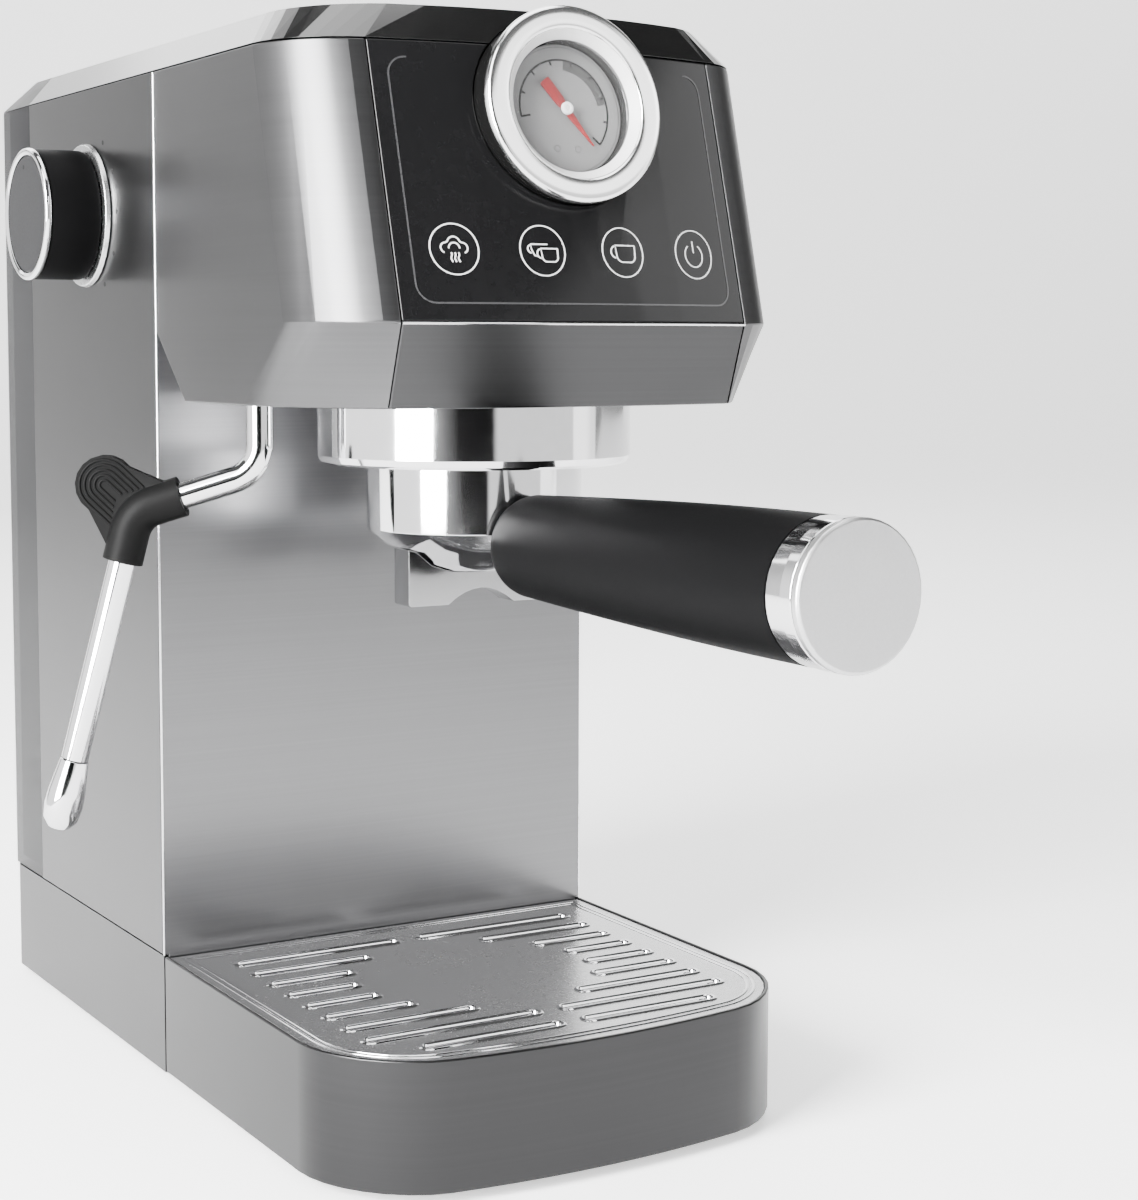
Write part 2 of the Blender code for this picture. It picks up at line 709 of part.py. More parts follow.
def build_head(root):
    fronts = (HEAD_BOTTOM_FRONT, CREASE_FRONT, HEAD_TOP_FRONT)
    corners = (BOTTOM_CORNER_LENGTH, CREASE_CORNER_LENGTH, TOP_CORNER_LENGTH)
    heights = (HEAD_BOTTOM, CREASE_Z, BODY_TOP)
    outer = []
    inner = []
    for i, (front, corner, z) in enumerate(zip(fronts, corners, heights)):
        path = head_path(front, corner)
        outer.append(head_level(path, z, i == 0))
        inner.append(head_level(offset_path(path, SHEET), z, i == 0))
    wrap = piece("head_wrap", sheet_loft(outer, inner), "brushed_steel", root)
    window = block(
        (-FRONT_HALF + WINDOW_MARGIN, 2 * CREASE_FRONT, CREASE_Z + WINDOW_MARGIN),
        (FRONT_HALF - WINDOW_MARGIN, HEAD_TOP_FRONT + 3 * HEAD_BOW, BODY_TOP - WINDOW_MARGIN),
    )
    cut(wrap, "window", window)
    cut(wrap, "gauge", gauge_cutter())

    half = HALF_WIDTH - SHEET - GAP
    floor_z = HEAD_FLOOR_Z
    plan = [(-half, CHAMFER_FRONT - GAP)]
    front = HEAD_BOTTOM_FRONT + FLOOR_SETBACK
    inset = offset_path(head_path(front, BOTTOM_CORNER_LENGTH), SHEET + 2 * GAP)
    plan += inset[2:-2]
    plan.append((half, CHAMFER_FRONT - GAP))
    floor = piece("head_floor", prism(plan, floor_z, floor_z + WALL), "matte_black", root)
    hole = BOILER_RADIUS + GAP
    bore = [(0, -WALL), (hole, -WALL), (hole, 2 * WALL), (0, 2 * WALL)]
    cut(floor, "group_hole", lathe(bore, (0, GROUP_Y, floor_z), steps=40))
    hole = WAND_RADIUS + 1 * MM
    bore = [(0, -WALL), (hole, -WALL), (hole, 2 * WALL), (0, 2 * WALL)]
    cut(floor, "wand_hole", lathe(bore, (wand_x(), WAND_Y, floor_z), steps=20))

    near = CHAMFER_FRONT + GAP
    far = -GAP
    rise_near = CHAMFER_SLOPE * GAP
    rise_far = CHAMFER_SLOPE * (far - CHAMFER_FRONT)
    ramp = [
        (near, HEAD_FLOOR_Z + rise_near),
        (far, HEAD_FLOOR_Z + rise_far),
        (far, HEAD_FLOOR_Z + WALL + rise_far),
        (near, HEAD_FLOOR_Z + WALL + rise_near),
    ]
    piece("head_rear_floor", side_prism(ramp, -half, half), "brushed_steel", root)

    build_panel("lower_fascia", HEAD_BOTTOM, CREASE_Z - GAP / 2, "brushed_steel", root)
    glass = build_panel("control_glass", CREASE_Z + GAP / 2, BODY_TOP, "black_glass", root)
    cut(glass, "gauge", gauge_cutter())


def front_at(z):
    """How far forward the head's front edge is at a height."""
    if z <= CREASE_Z:
        share = (z - HEAD_BOTTOM) / (CREASE_Z - HEAD_BOTTOM)
        return HEAD_BOTTOM_FRONT + share * (CREASE_FRONT - HEAD_BOTTOM_FRONT)
    share = (z - CREASE_Z) / (BODY_TOP - CREASE_Z)
    return CREASE_FRONT + share * (HEAD_TOP_FRONT - CREASE_FRONT)


def build_panel(name, z_low, z_high, finish, root):
    """A bowed front panel that fills the head's recess between two heights."""
    half = FRONT_HALF - GAP
    outer = []
    inner = []
    for z in (z_low, z_high):
        outer.append(at_height(bowed_front(front_at(z), half, HEAD_BOW), z))
        inner.append(at_height(bowed_front(front_at(z) + PANEL_THICKNESS, half, HEAD_BOW), z))
    return piece(name, sheet_loft(outer, inner), finish, root)


def build_touch_board(root):
    z_low = CREASE_Z + WINDOW_MARGIN + 3 * MM
    z_high = gauge_centre().z - GAUGE_RADIUS - 3 * MM
    half = FRONT_HALF - WINDOW_MARGIN - 4 * MM
    behind = PANEL_THICKNESS + 2 * GAP
    outer = []
    inner = []
    for z in (z_low, z_high):
        outer.append(at_height(bowed_front(front_at(z) + behind, half, 0.8 * HEAD_BOW, 5), z))
        inner.append(at_height(bowed_front(front_at(z) + behind + BOARD_THICKNESS, half, 0.8 * HEAD_BOW, 5), z))
    piece("touch_board", sheet_loft(outer, inner), "board_green", root)


# ---------------------------------------------------------------- top cover


def cover_outline(side_inset, lean, corner_length, margin):
    """The cover's plan outline, drawn in at the sides, leaned back at the front, less a margin."""
    half = HALF_WIDTH - side_inset - margin
    front = HEAD_TOP_FRONT + lean + margin
    left = [(-half, SIDE_BACK - margin)] + corner_arc(half, front, HEAD_CORNER_WIDTH, corner_length)
    right = [(-x, y) for x, y in reversed(left)]
    return left + bowed_front(front, half - HEAD_CORNER_WIDTH, HEAD_BOW)[1:-1] + right


def build_cover(root):
    bottom = BODY_TOP + GAP
    recess = COVER_TOP - CUP_PLATE_RECESS
    ceiling = recess - COVER_WALL
    share = (ceiling - bottom) / (COVER_TOP - bottom)
    foot = (0, 0, TOP_CORNER_LENGTH)
    top = (COVER_SIDE_INSET, COVER_FRONT_LEAN, COVER_CORNER_LENGTH)
    middle = [low + share * (high - low) for low, high in zip(foot, top)]
    shell = closed_loft(
        [
            at_height(cover_outline(*middle, COVER_WALL), ceiling),
            at_height(cover_outline(*foot, COVER_WALL), bottom),
            at_height(cover_outline(*foot, 0), bottom),
            at_height(cover_outline(*top, 0), COVER_TOP),
            at_height(cover_outline(*top, CUP_PLATE_MARGIN), COVER_TOP),
            at_height(cover_outline(*top, CUP_PLATE_MARGIN), recess),
        ]
    )
    cover = piece("top_cover", shell, "gloss_black", root)
    cut(cover, "gauge", gauge_cutter())
    plate = cover_outline(*top, CUP_PLATE_MARGIN + GAP)
    piece("cup_plate", prism(plate, recess + GAP, COVER_TOP), "matte_black", root)


# ---------------------------------------------------------------- gauge


def build_gauge(root, needle):
    centre = gauge_centre()
    axis = gauge_axis()
    outer = GAUGE_RADIUS
    window = GAUGE_WINDOW_RADIUS
    dial = GAUGE_DIAL_RADIUS
    seat = window + BEZEL_SEAT_WIDTH
    bezel = [
        (outer, -BEZEL_EDGE_DEPTH),
        (outer, -1.1 * MM),
        (outer - 0.5 * MM, -0.3 * MM),
        (outer - 1.5 * MM, 0),
        (window + 0.7 * MM, 0),
        (window, -0.4 * MM),
        (dial + 0.2 * MM, -LENS_DEPTH),
        (dial + 0.2 * MM, -BEZEL_SEAT_DEPTH),
        (seat, -BEZEL_SEAT_DEPTH),
        (seat, -BEZEL_EDGE_DEPTH),
    ]
    piece("gauge_bezel", lathe(bezel, centre, axis, 64), "chrome", root)

    body = gauge_housing_radius()
    back = GAUGE_BACK_RADIUS
    depth = GAUGE_HOUSING_DEPTH
    floor = GAUGE_DIAL_DEPTH + DIAL_THICKNESS + GAP
    housing = [
        (0, -depth - GAUGE_STUB_LENGTH),
        (back, -depth - GAUGE_STUB_LENGTH),
        (back, -depth),
        (body, -depth),
        (body, -BEZEL_EDGE_DEPTH - GAP),
        (seat + GAP, -BEZEL_EDGE_DEPTH - GAP),
        (seat + GAP, -BEZEL_SEAT_DEPTH - GAP),
        (dial + GAP, -BEZEL_SEAT_DEPTH - GAP),
        (dial + GAP, -floor),
        (0, -floor),
    ]
    piece("gauge_housing", lathe(housing, centre, axis, 48), "gloss_black", root)

    under = -GAUGE_DIAL_DEPTH - DIAL_THICKNESS
    face = [(0, under), (dial, under)]
    face += [(dial, -GAUGE_DIAL_DEPTH), (0, -GAUGE_DIAL_DEPTH)]
    piece("gauge_dial", lathe(face, centre, axis, 48), "dial_grey", root)
    lens = dial - GAP
    top = LENS_THICKNESS - LENS_DEPTH
    pane = [(0, -LENS_DEPTH), (lens, -LENS_DEPTH), (lens, top), (0, top)]
    piece("gauge_lens", lathe(pane, centre, axis, 48), "clear_lens", root)
    build_needle(needle)


def on_gauge(along, sideways, height):
    """A point over the dial, measured along the needle, square to it, and out from the bezel's plane."""
    angle = math.radians(NEEDLE_ANGLE)
    axis = gauge_axis()
    right = Vector((1, 0, 0))
    up = axis.cross(right)
    forward = math.cos(angle) * right + math.sin(angle) * up
    left = axis.cross(forward)
    return gauge_centre() + along * forward + sideways * left + height * axis


def build_needle(needle):
    low = -GAUGE_DIAL_DEPTH + 0.7 * MM
    high = low + 0.6 * MM
    half = NEEDLE_WIDTH / 2
    outline = [
        (NEEDLE_LENGTH, 0),
        (0, 0.6 * half),
        (-NEEDLE_TAIL, half),
        (-NEEDLE_TAIL, -half),
        (0, -0.6 * half),
    ]
    loops = [[on_gauge(a, s, h) for a, s in outline] for h in (low, high)]
    piece("gauge_needle", closed_loft(loops), "needle_red", needle)
    cap = [(0, high + GAP), (NEEDLE_HUB_RADIUS, high + GAP), (NEEDLE_HUB_RADIUS, high + 1.0 * MM)]
    cap += [(0, high + 1.3 * MM)]
    piece("gauge_hub", lathe(cap, gauge_centre(), gauge_axis(), 20), "white_plastic", needle)


# ---------------------------------------------------------------- group and portafilter


def build_group(root):
    top = COLLAR_TOP
    bottom = COLLAR_BOTTOM
    lip_radius = FILTER_RADIUS + COLLAR_LIP_GAP
    lip_top = bottom + COLLAR_LIP_HEIGHT
    groove_top = lip_top + EAR_THICKNESS + 3.0 * MM
    groove = FILTER_RADIUS + EAR_REACH + 1.0 * MM
    rounding = 2.6 * MM
    profile = [
        (COLLAR_RADIUS, top),
        (COLLAR_RADIUS, bottom + rounding),
        (COLLAR_RADIUS - 0.3 * rounding, bottom + 0.3 * rounding),
        (COLLAR_RADIUS - rounding, bottom),
        (lip_radius, bottom),
        (lip_radius, lip_top),
        (groove, lip_top),
        (groove, groove_top),
        (lip_radius, groove_top),
        (lip_radius, top),
    ]
    collar = piece("group_collar", lathe(profile, (0, GROUP_Y, 0), steps=48), "chrome", root)
    for i, angle in enumerate(EAR_ANGLES):
        outline = ear_outline(angle + UNLOCK_ANGLE, EAR_SPREAD + 8, groove)
        cut(collar, f"ear_slot_{i}", prism(outline, bottom - WALL, lip_top + EAR_LIFT))

    head = [
        (0, HEAD_BOTTOM),
        (BOILER_RADIUS, HEAD_BOTTOM),
        (BOILER_RADIUS, HEAD_BOTTOM + 0.7 * BOILER_HEIGHT),
        (0.8 * BOILER_RADIUS, HEAD_BOTTOM + BOILER_HEIGHT),
        (0, HEAD_BOTTOM + BOILER_HEIGHT),
    ]
    piece("boiler", lathe(head, (0, GROUP_Y, 0), steps=40), "aluminium", root)

    seal_low = FILTER_RIM + GAP + BASKET_WALL + 0.2 * MM
    seal_inner = BASKET_RADIUS - 1.0 * MM
    gasket = [
        (seal_inner, seal_low),
        (FILTER_RADIUS, seal_low),
        (FILTER_RADIUS, HEAD_BOTTOM - GAP),
        (seal_inner, HEAD_BOTTOM - GAP),
    ]
    piece("group_gasket", lathe(gasket, (0, GROUP_Y, 0), steps=40), "black_rubber", root)
    screen_radius = seal_inner - GAP
    screen_low = HEAD_BOTTOM - 3.4 * MM
    screen = [(0, screen_low), (screen_radius - 1.5 * MM, screen_low), (screen_radius, screen_low + 1.0 * MM)]
    screen += [(screen_radius, HEAD_BOTTOM - GAP), (0, HEAD_BOTTOM - GAP)]
    piece("shower_screen", lathe(screen, (0, GROUP_Y, 0), steps=40), "bright_steel", root)
    screw = [(0, screen_low - 1.6 * MM), (3.0 * MM, screen_low - 1.4 * MM), (4.0 * MM, screen_low - GAP)]
    screw += [(0, screen_low - GAP)]
    piece("screen_screw", lathe(screw, (0, GROUP_Y, 0), steps=20), "bright_steel", root)


def ear_outline(angle, spread, reach, steps=4):
    """A plan sector about the group axis, from inside the filter wall out to a reach."""
    inner = FILTER_RADIUS - 1.0 * MM
    outline = []
    for radius, order in ((reach, range(steps + 1)), (inner, range(steps, -1, -1))):
        for k in order:
            turn = math.radians(angle - spread / 2 + spread * k / steps)
            outline.append((radius * math.cos(turn), GROUP_Y + radius * math.sin(turn)))
    return outline


def filter_underside():
    """The (radius, height) points under the portafilter, from its wall in to the drain."""
    return [
        (FILTER_RADIUS, FILTER_BOTTOM + 0.6 * MM),
        (FILTER_RADIUS - 0.8 * MM, FILTER_BOTTOM),
        (FILTER_RADIUS - 5.2 * MM, FILTER_BOTTOM - 4.0 * MM),
        (21.5 * MM, FILTER_BOTTOM - 5.6 * MM),
        (17.0 * MM, FILTER_BOTTOM - 9.4 * MM),
        (11.0 * MM, FILTER_BOTTOM - 11.6 * MM),
        (DRAIN_RADIUS, FILTER_BOTTOM - DRAIN_DROP),
    ]


def build_portafilter(holder):
    bore = BASKET_RADIUS + BASKET_WALL + GAP
    profile = [(FILTER_RADIUS, FILTER_RIM)] + filter_underside()
    profile += [
        (DRAIN_RADIUS, FILTER_BOTTOM - 9.0 * MM),
        (14.0 * MM, FILTER_BOTTOM - 5.0 * MM),
        (bore, FILTER_BOTTOM + 1.5 * MM),
        (bore, FILTER_RIM),
    ]
    body = piece("portafilter_body", lathe(profile, (0, GROUP_Y, 0), steps=48), "chrome", holder)
    ear_low = COLLAR_BOTTOM + COLLAR_LIP_HEIGHT + EAR_LIFT
    for i, angle in enumerate(EAR_ANGLES):
        outline = ear_outline(angle, EAR_SPREAD, FILTER_RADIUS + EAR_REACH)
        join(body, f"ear_{i}", prism(outline, ear_low, ear_low + EAR_THICKNESS))
    wall = FILTER_RADIUS - 2.0 * MM
    neck = [(0, wall), (NECK_RADIUS, wall), (NECK_RADIUS, FILTER_RADIUS + NECK_LENGTH)]
    neck += [(0, FILTER_RADIUS + NECK_LENGTH)]
    join(body, "neck", lathe(neck, (0, GROUP_Y, handle_z()), (0, -1, 0), 24))

    rim = FILTER_RIM + GAP
    floor = FILTER_RIM - BASKET_DEPTH
    basket = [
        (0, floor),
        (BASKET_RADIUS - 1.5 * MM, floor),
        (BASKET_RADIUS + BASKET_WALL, floor + 2.0 * MM),
        (BASKET_RADIUS + BASKET_WALL, rim),
        (FILTER_RADIUS - 0.4 * MM, rim),
        (FILTER_RADIUS - 0.4 * MM, rim + BASKET_WALL),
        (BASKET_RADIUS, rim + BASKET_WALL),
        (BASKET_RADIUS, floor + 2.4 * MM),
        (BASKET_RADIUS - 2.0 * MM, floor + BASKET_WALL),
        (0, floor + BASKET_WALL),
    ]
    piece("filter_basket", lathe(basket, (0, GROUP_Y, 0), steps=40), "bright_steel", holder)
    build_spout(holder)
    build_handle(holder)


def build_spout(holder):
    """The twin spout: a bar across the underside, arched between its two outlets."""
    top = FILTER_BOTTOM - 2.0 * MM
    bottom = FILTER_BOTTOM - SPOUT_DROP
    half = SPOUT_HALF_LENGTH
    outline = [(-half, top), (-half, bottom + 0.6 * MM), (-half + 0.8 * MM, bottom)]
    for k in range(9):
        share = -1 + 2 * k / 8
        outline.append((share * SPOUT_ARCH_HALF, bottom + SPOUT_ARCH * (1 - share**2)))
    outline += [(half - 0.8 * MM, bottom), (half, bottom + 0.6 * MM), (half, top)]
    faces = [[(x, GROUP_Y + s * SPOUT_HALF_DEPTH, z) for x, z in outline] for s in (-1, 1)]
    spout = piece("twin_spout", closed_loft(faces), "chrome", holder)
    clear = [(r + GAP, z - GAP) for r, z in filter_underside()]
    room = [(0, FILTER_BOTTOM + 5 * MM), (FILTER_RADIUS + GAP, FILTER_BOTTOM + 5 * MM)] + clear
    room.append((0, FILTER_BOTTOM - DRAIN_DROP - GAP))
    cut(spout, "underside", lathe(room, (0, GROUP_Y, 0), steps=48))


def handle_z():
    return HEAD_BOTTOM - HANDLE_DROP


def build_handle(holder):
    start = FILTER_RADIUS + HANDLE_STANDOFF
    ring_end = start + HANDLE_LENGTH - HANDLE_CAP_THICKNESS - GAP
    grip_end = start + HANDLE_LENGTH - HANDLE_RING_LENGTH
    origin = (0, GROUP_Y, handle_z())
    away = (0, -1, 0)
    near = HANDLE_NEAR_RADIUS
    far = HANDLE_FAR_RADIUS
    grip = [(NECK_RADIUS + GAP, start), (near - 3.4 * MM, start), (near - 1.0 * MM, start + 1.6 * MM)]
    shoulder = start + HANDLE_SHOULDER
    grip.append((near, shoulder))
    for k in range(1, 6):
        share = k / 6
        radius = near + (far - near) * math.sin(share * math.pi / 2)
        grip.append((radius, shoulder + share * (grip_end - shoulder)))
    grip += [(far, grip_end), (STUD_RADIUS + GAP, grip_end)]
    neck_end = FILTER_RADIUS + NECK_LENGTH + GAP
    grip += [(STUD_RADIUS + GAP, neck_end), (NECK_RADIUS + GAP, neck_end)]
    piece("handle_grip", lathe(grip, origin, away, 40), "matte_black", holder)
    stud = [(0, neck_end), (STUD_RADIUS, neck_end), (STUD_RADIUS, ring_end - 2 * GAP), (0, ring_end - 2 * GAP)]
    piece("handle_stud", lathe(stud, origin, away, 16), "bright_steel", holder)
    ring = [
        (STUD_RADIUS + GAP, grip_end + GAP),
        (far, grip_end + GAP),
        (HANDLE_CAP_RADIUS, ring_end - 4 * MM),
        (HANDLE_CAP_RADIUS, ring_end),
        (STUD_RADIUS + GAP, ring_end),
    ]
    piece("handle_ring", lathe(ring, origin, away, 40), "chrome", holder)
    end = start + HANDLE_LENGTH
    cap = [(0, ring_end + GAP), (HANDLE_CAP_RADIUS, ring_end + GAP), (HANDLE_CAP_RADIUS, end - 0.7 * MM)]
    cap += [(HANDLE_CAP_RADIUS - 0.7 * MM, end), (0, end)]
    piece("handle_cap", lathe(cap, origin, away, 40), "satin_metal", holder)


# ---------------------------------------------------------------- steam side


def wand_x():
    return -HALF_WIDTH + WAND_SIDE_INSET


def on_wand(reach, z):
    """A point in the wand's upright plane, at a distance from the pivot axis."""
    heading = math.radians(WAND_HEADING)
    return Vector((wand_x() - reach * math.cos(heading), WAND_Y + reach * math.sin(heading), z))


def wand_across():
    heading = math.radians(WAND_HEADING)
    return Vector((math.sin(heading), math.cos(heading), 0))


def wand_corners(tip_share):
    """The wand's corner points, from inside the head to a share of the way down its lower leg."""
    elbow_z = HEAD_BOTTOM - WAND_ELBOW_DROP
    knee = (WAND_ARM_REACH, elbow_z - WAND_ARM_FALL)
    tip = (WAND_TIP_REACH, HEAD_BOTTOM - WAND_TIP_FALL)
    end = [a + tip_share * (b - a) for a, b in zip(knee, tip)]
    return [on_wand(0, HEAD_BOTTOM + WAND_ROOT_LENGTH), on_wand(0, elbow_z), on_wand(*knee), on_wand(*end)]


def build_wand(wand, root):
    across = wand_across()
    path = rounded_path(wand_corners(1.0), WAND_BEND)
    piece("wand_tube", sweep(path, WAND_RADIUS, across, 14), "chrome", wand)

    corners = wand_corners(GRIP_END_SHARE)
    start = corners[1] + (corners[2] - corners[1]) * GRIP_START_SHARE
    grip_path = rounded_path([start, corners[2], corners[3]], WAND_BEND)
    grip = piece("wand_grip", sweep(grip_path, GRIP_RADIUS, across, 16), "black_rubber", wand)
    arm = (corners[1] - corners[2]).normalized()
    leg = (corners[3] - corners[2]).normalized()
    outward = -(arm + leg).normalized()
    tab = tab_outline(corners[2], outward, across)
    half = TAB_THICKNESS / 2
    join(grip, "thumb_tab", closed_loft([[p + s * half * across for p in tab] for s in (-1, 1)]))
    bore_start = corners[1] + (corners[2] - corners[1]) * (GRIP_START_SHARE - BORE_OVERRUN_SHARE)
    bore_end = wand_corners(GRIP_END_SHARE + BORE_OVERRUN_SHARE)[3]
    bore = rounded_path([bore_start, corners[2], bore_end], WAND_BEND)
    cut(grip, "bore", sweep(bore, WAND_RADIUS + GAP, across, 14))

    along = (wand_corners(1.0)[3] - wand_corners(1.0)[2]).normalized()
    mouth = wand_corners(1.0)[3] + along * GAP
    bulb = [
        (0, 0),
        (WAND_RADIUS + 0.2 * MM, 0),
        (NOZZLE_RADIUS, 0.45 * NOZZLE_LENGTH),
        (NOZZLE_RADIUS + 0.2 * MM, 0.66 * NOZZLE_LENGTH),
        (0.92 * NOZZLE_RADIUS, 0.86 * NOZZLE_LENGTH),
        (0.55 * NOZZLE_RADIUS, 0.98 * NOZZLE_LENGTH),
        (0, NOZZLE_LENGTH),
    ]
    piece("steam_nozzle", lathe(bulb, mouth, along, 24), "chrome", wand)

    floor = HEAD_FLOOR_Z + WALL + GAP
    inner = WAND_RADIUS + GAP
    top = floor + SOCKET_LENGTH
    socket = [(inner, floor), (SOCKET_RADIUS, floor), (SOCKET_RADIUS, top - 2 * MM), (inner, top)]
    piece("wand_socket", lathe(socket, (wand_x(), WAND_Y, 0), steps=24), "brass", root)


def tab_outline(knee, outward, across, steps=10):
    """The thumb tab: a round lobe outside the knee, with straight flanks back to the grip."""
    sideways = across.cross(outward)
    centre = knee + outward * TAB_REACH
    outline = []
    for k in range(steps + 1):
        angle = math.radians(-100 + 200 * k / steps)
        outline.append(centre + TAB_RADIUS * (math.cos(angle) * outward + math.sin(angle) * sideways))
    reach = TAB_RADIUS + TAB_FLANK_SPREAD
    outline.append(knee + sideways * reach - outward * TAB_ROOT_DEPTH)
    outline.append(knee - sideways * reach - outward * TAB_ROOT_DEPTH)
    return outline


def build_knob(knob, root):
    origin = (-HALF_WIDTH, KNOB_Y, knob_z())
    out = (-1, 0, 0)
    plate_end = GAP + KNOB_PLATE_THICKNESS
    hole = KNOB_PLATE_HOLE
    plate = [(hole, GAP), (KNOB_PLATE_RADIUS, GAP), (KNOB_PLATE_RADIUS - 0.5 * MM, plate_end)]
    plate.append((hole, plate_end))
    piece("knob_plate", lathe(plate, origin, out, 40), "brushed_steel", root)

    start = plate_end + GAP
    front = KNOB_LENGTH - KNOB_FRONT_DEPTH
    bore = STEM_RADIUS + GAP
    depth = start + KNOB_BORE_DEPTH
    body = [(0, depth), (bore, depth), (bore, start), (KNOB_RADIUS - 0.4 * MM, start)]
    body += [(KNOB_RADIUS, start + 1 * MM), (KNOB_RADIUS, front), (0, front)]
    piece("knob_body", lathe(body, origin, out, 40), "matte_black", knob)
    inner = KNOB_RADIUS - KNOB_RING_WIDTH
    rim = KNOB_RADIUS + KNOB_RING_PROUD
    ring = [(inner, front + GAP), (rim, front + GAP), (rim, KNOB_LENGTH - 0.6 * MM)]
    ring += [(rim - 0.6 * MM, KNOB_LENGTH), (inner + 0.3 * MM, KNOB_LENGTH), (inner, KNOB_LENGTH - 0.3 * MM)]
    piece("knob_ring", lathe(ring, origin, out, 40), "chrome", knob)
    level = KNOB_LENGTH - KNOB_FACE_SINK
    face = [(0, front + GAP), (inner - GAP, front + GAP), (inner - GAP, level), (0, level)]
    piece("knob_face", lathe(face, origin, out, 40), "knob_grey", knob)

    stem_end = depth - GAP
    stem = [(0, stem_end - STEM_LENGTH), (STEM_RADIUS, stem_end - STEM_LENGTH), (STEM_RADIUS, stem_end)]
    stem.append((0, stem_end))
    piece("valve_stem", lathe(stem, origin, out, 20), "bright_steel", knob)
    gland = stem_end - STEM_LENGTH + STEM_SEATING
    seating = gland - STEM_SEATING - GAP
    valve = [
        (0, gland - STEAM_VALVE_LENGTH),
        (STEAM_VALVE_RADIUS, gland - STEAM_VALVE_LENGTH),
        (STEAM_VALVE_RADIUS, gland - 4 * MM),
        (STEAM_VALVE_RADIUS - 2.5 * MM, gland),
        (STEM_RADIUS + GAP, gland),
        (STEM_RADIUS + GAP, seating),
        (0, seating),
    ]
    piece("steam_valve", lathe(valve, origin, out, 24), "brass", root)


# ---------------------------------------------------------------- water tank


def build_tank(tank):
    half = HALF_WIDTH - TANK_SIDE_INSET
    front = SIDE_BACK + GAP
    bottom = BASE_HEIGHT + GAP
    top = BODY_TOP
    outside = u_path(half, front, TANK_BACK, TANK_CORNER, TANK_CORNER)
    corner = TANK_CORNER - TANK_WALL
    inside = u_path(half - TANK_WALL, front + TANK_WALL, TANK_BACK - TANK_WALL, corner, corner)
    shell = closed_loft(
        [
            at_height(outside, bottom),
            at_height(outside, top),
            at_height(inside, top),
            at_height(inside, bottom + TANK_WALL),
        ]
    )
    box = piece("water_tank", shell, "smoke_plastic", tank)
    bore = [(0, -WALL), (VALVE_RADIUS + GAP, -WALL), (VALVE_RADIUS + GAP, 2 * TANK_WALL), (0, 2 * TANK_WALL)]
    cut(box, "valve_hole", lathe(bore, (0, VALVE_Y, bottom), steps=24))
    first = HINGE_HALF_SPAN - 2 * HINGE_KNUCKLE - GAP
    for side in (-1, 1):
        join(box, f"knuckle_{side + 2}", knuckle(side, first, HINGE_KNUCKLE))
        join(box, f"arm_{side + 2}", knuckle_arm(side, first, HINGE_KNUCKLE, -1))
    cut(box, "pin_hole", hinge_bar(HINGE_PIN_RADIUS + GAP, HINGE_HALF_SPAN + WALL))

    floor = bottom + TANK_WALL
    valve = [
        (0, bottom - VALVE_DROP),
        (VALVE_RADIUS - 1 * MM, bottom - VALVE_DROP),
        (VALVE_RADIUS, bottom - VALVE_DROP + 1 * MM),
        (VALVE_RADIUS, floor + GAP),
        (VALVE_RADIUS + 2 * MM, floor + GAP),
        (VALVE_RADIUS + 2 * MM, floor + 2 * MM),
        (0, floor + 4 * MM),
    ]
    piece("tank_valve", lathe(valve, (0, VALVE_Y, 0), steps=24), "red_rubber", tank)
    pin = hinge_bar(HINGE_PIN_RADIUS, HINGE_HALF_SPAN)
    piece("lid_pin", pin, "bright_steel", tank)


def hinge_bar(radius, half_length):
    profile = [(0, -half_length), (radius, -half_length), (radius, half_length), (0, half_length)]
    return lathe(profile, (0, HINGE_Y, HINGE_Z), (1, 0, 0), 12)


def knuckle(side, start, length):
    """One barrel of the lid hinge."""
    low, high = sorted((side * start, side * (start + length)))
    profile = [(0, low), (HINGE_RADIUS, low), (HINGE_RADIUS, high), (0, high)]
    return lathe(profile, (0, HINGE_Y, HINGE_Z), (1, 0, 0), 16)


def knuckle_arm(side, start, length, lift):
    """The web from a barrel to the lid above the joint (lift 1) or the tank below it (lift -1)."""
    low, high = sorted((side * start, side * (start + length)))
    near = HINGE_Z + lift * 0.5 * MM
    far = HINGE_Z + lift * (HINGE_RADIUS - 0.1 * MM)
    reach = TANK_BACK - 1.2 * MM if lift < 0 else TANK_BACK - 2.0 * MM
    return block((low, reach, min(near, far)), (high, HINGE_Y, max(near, far)))


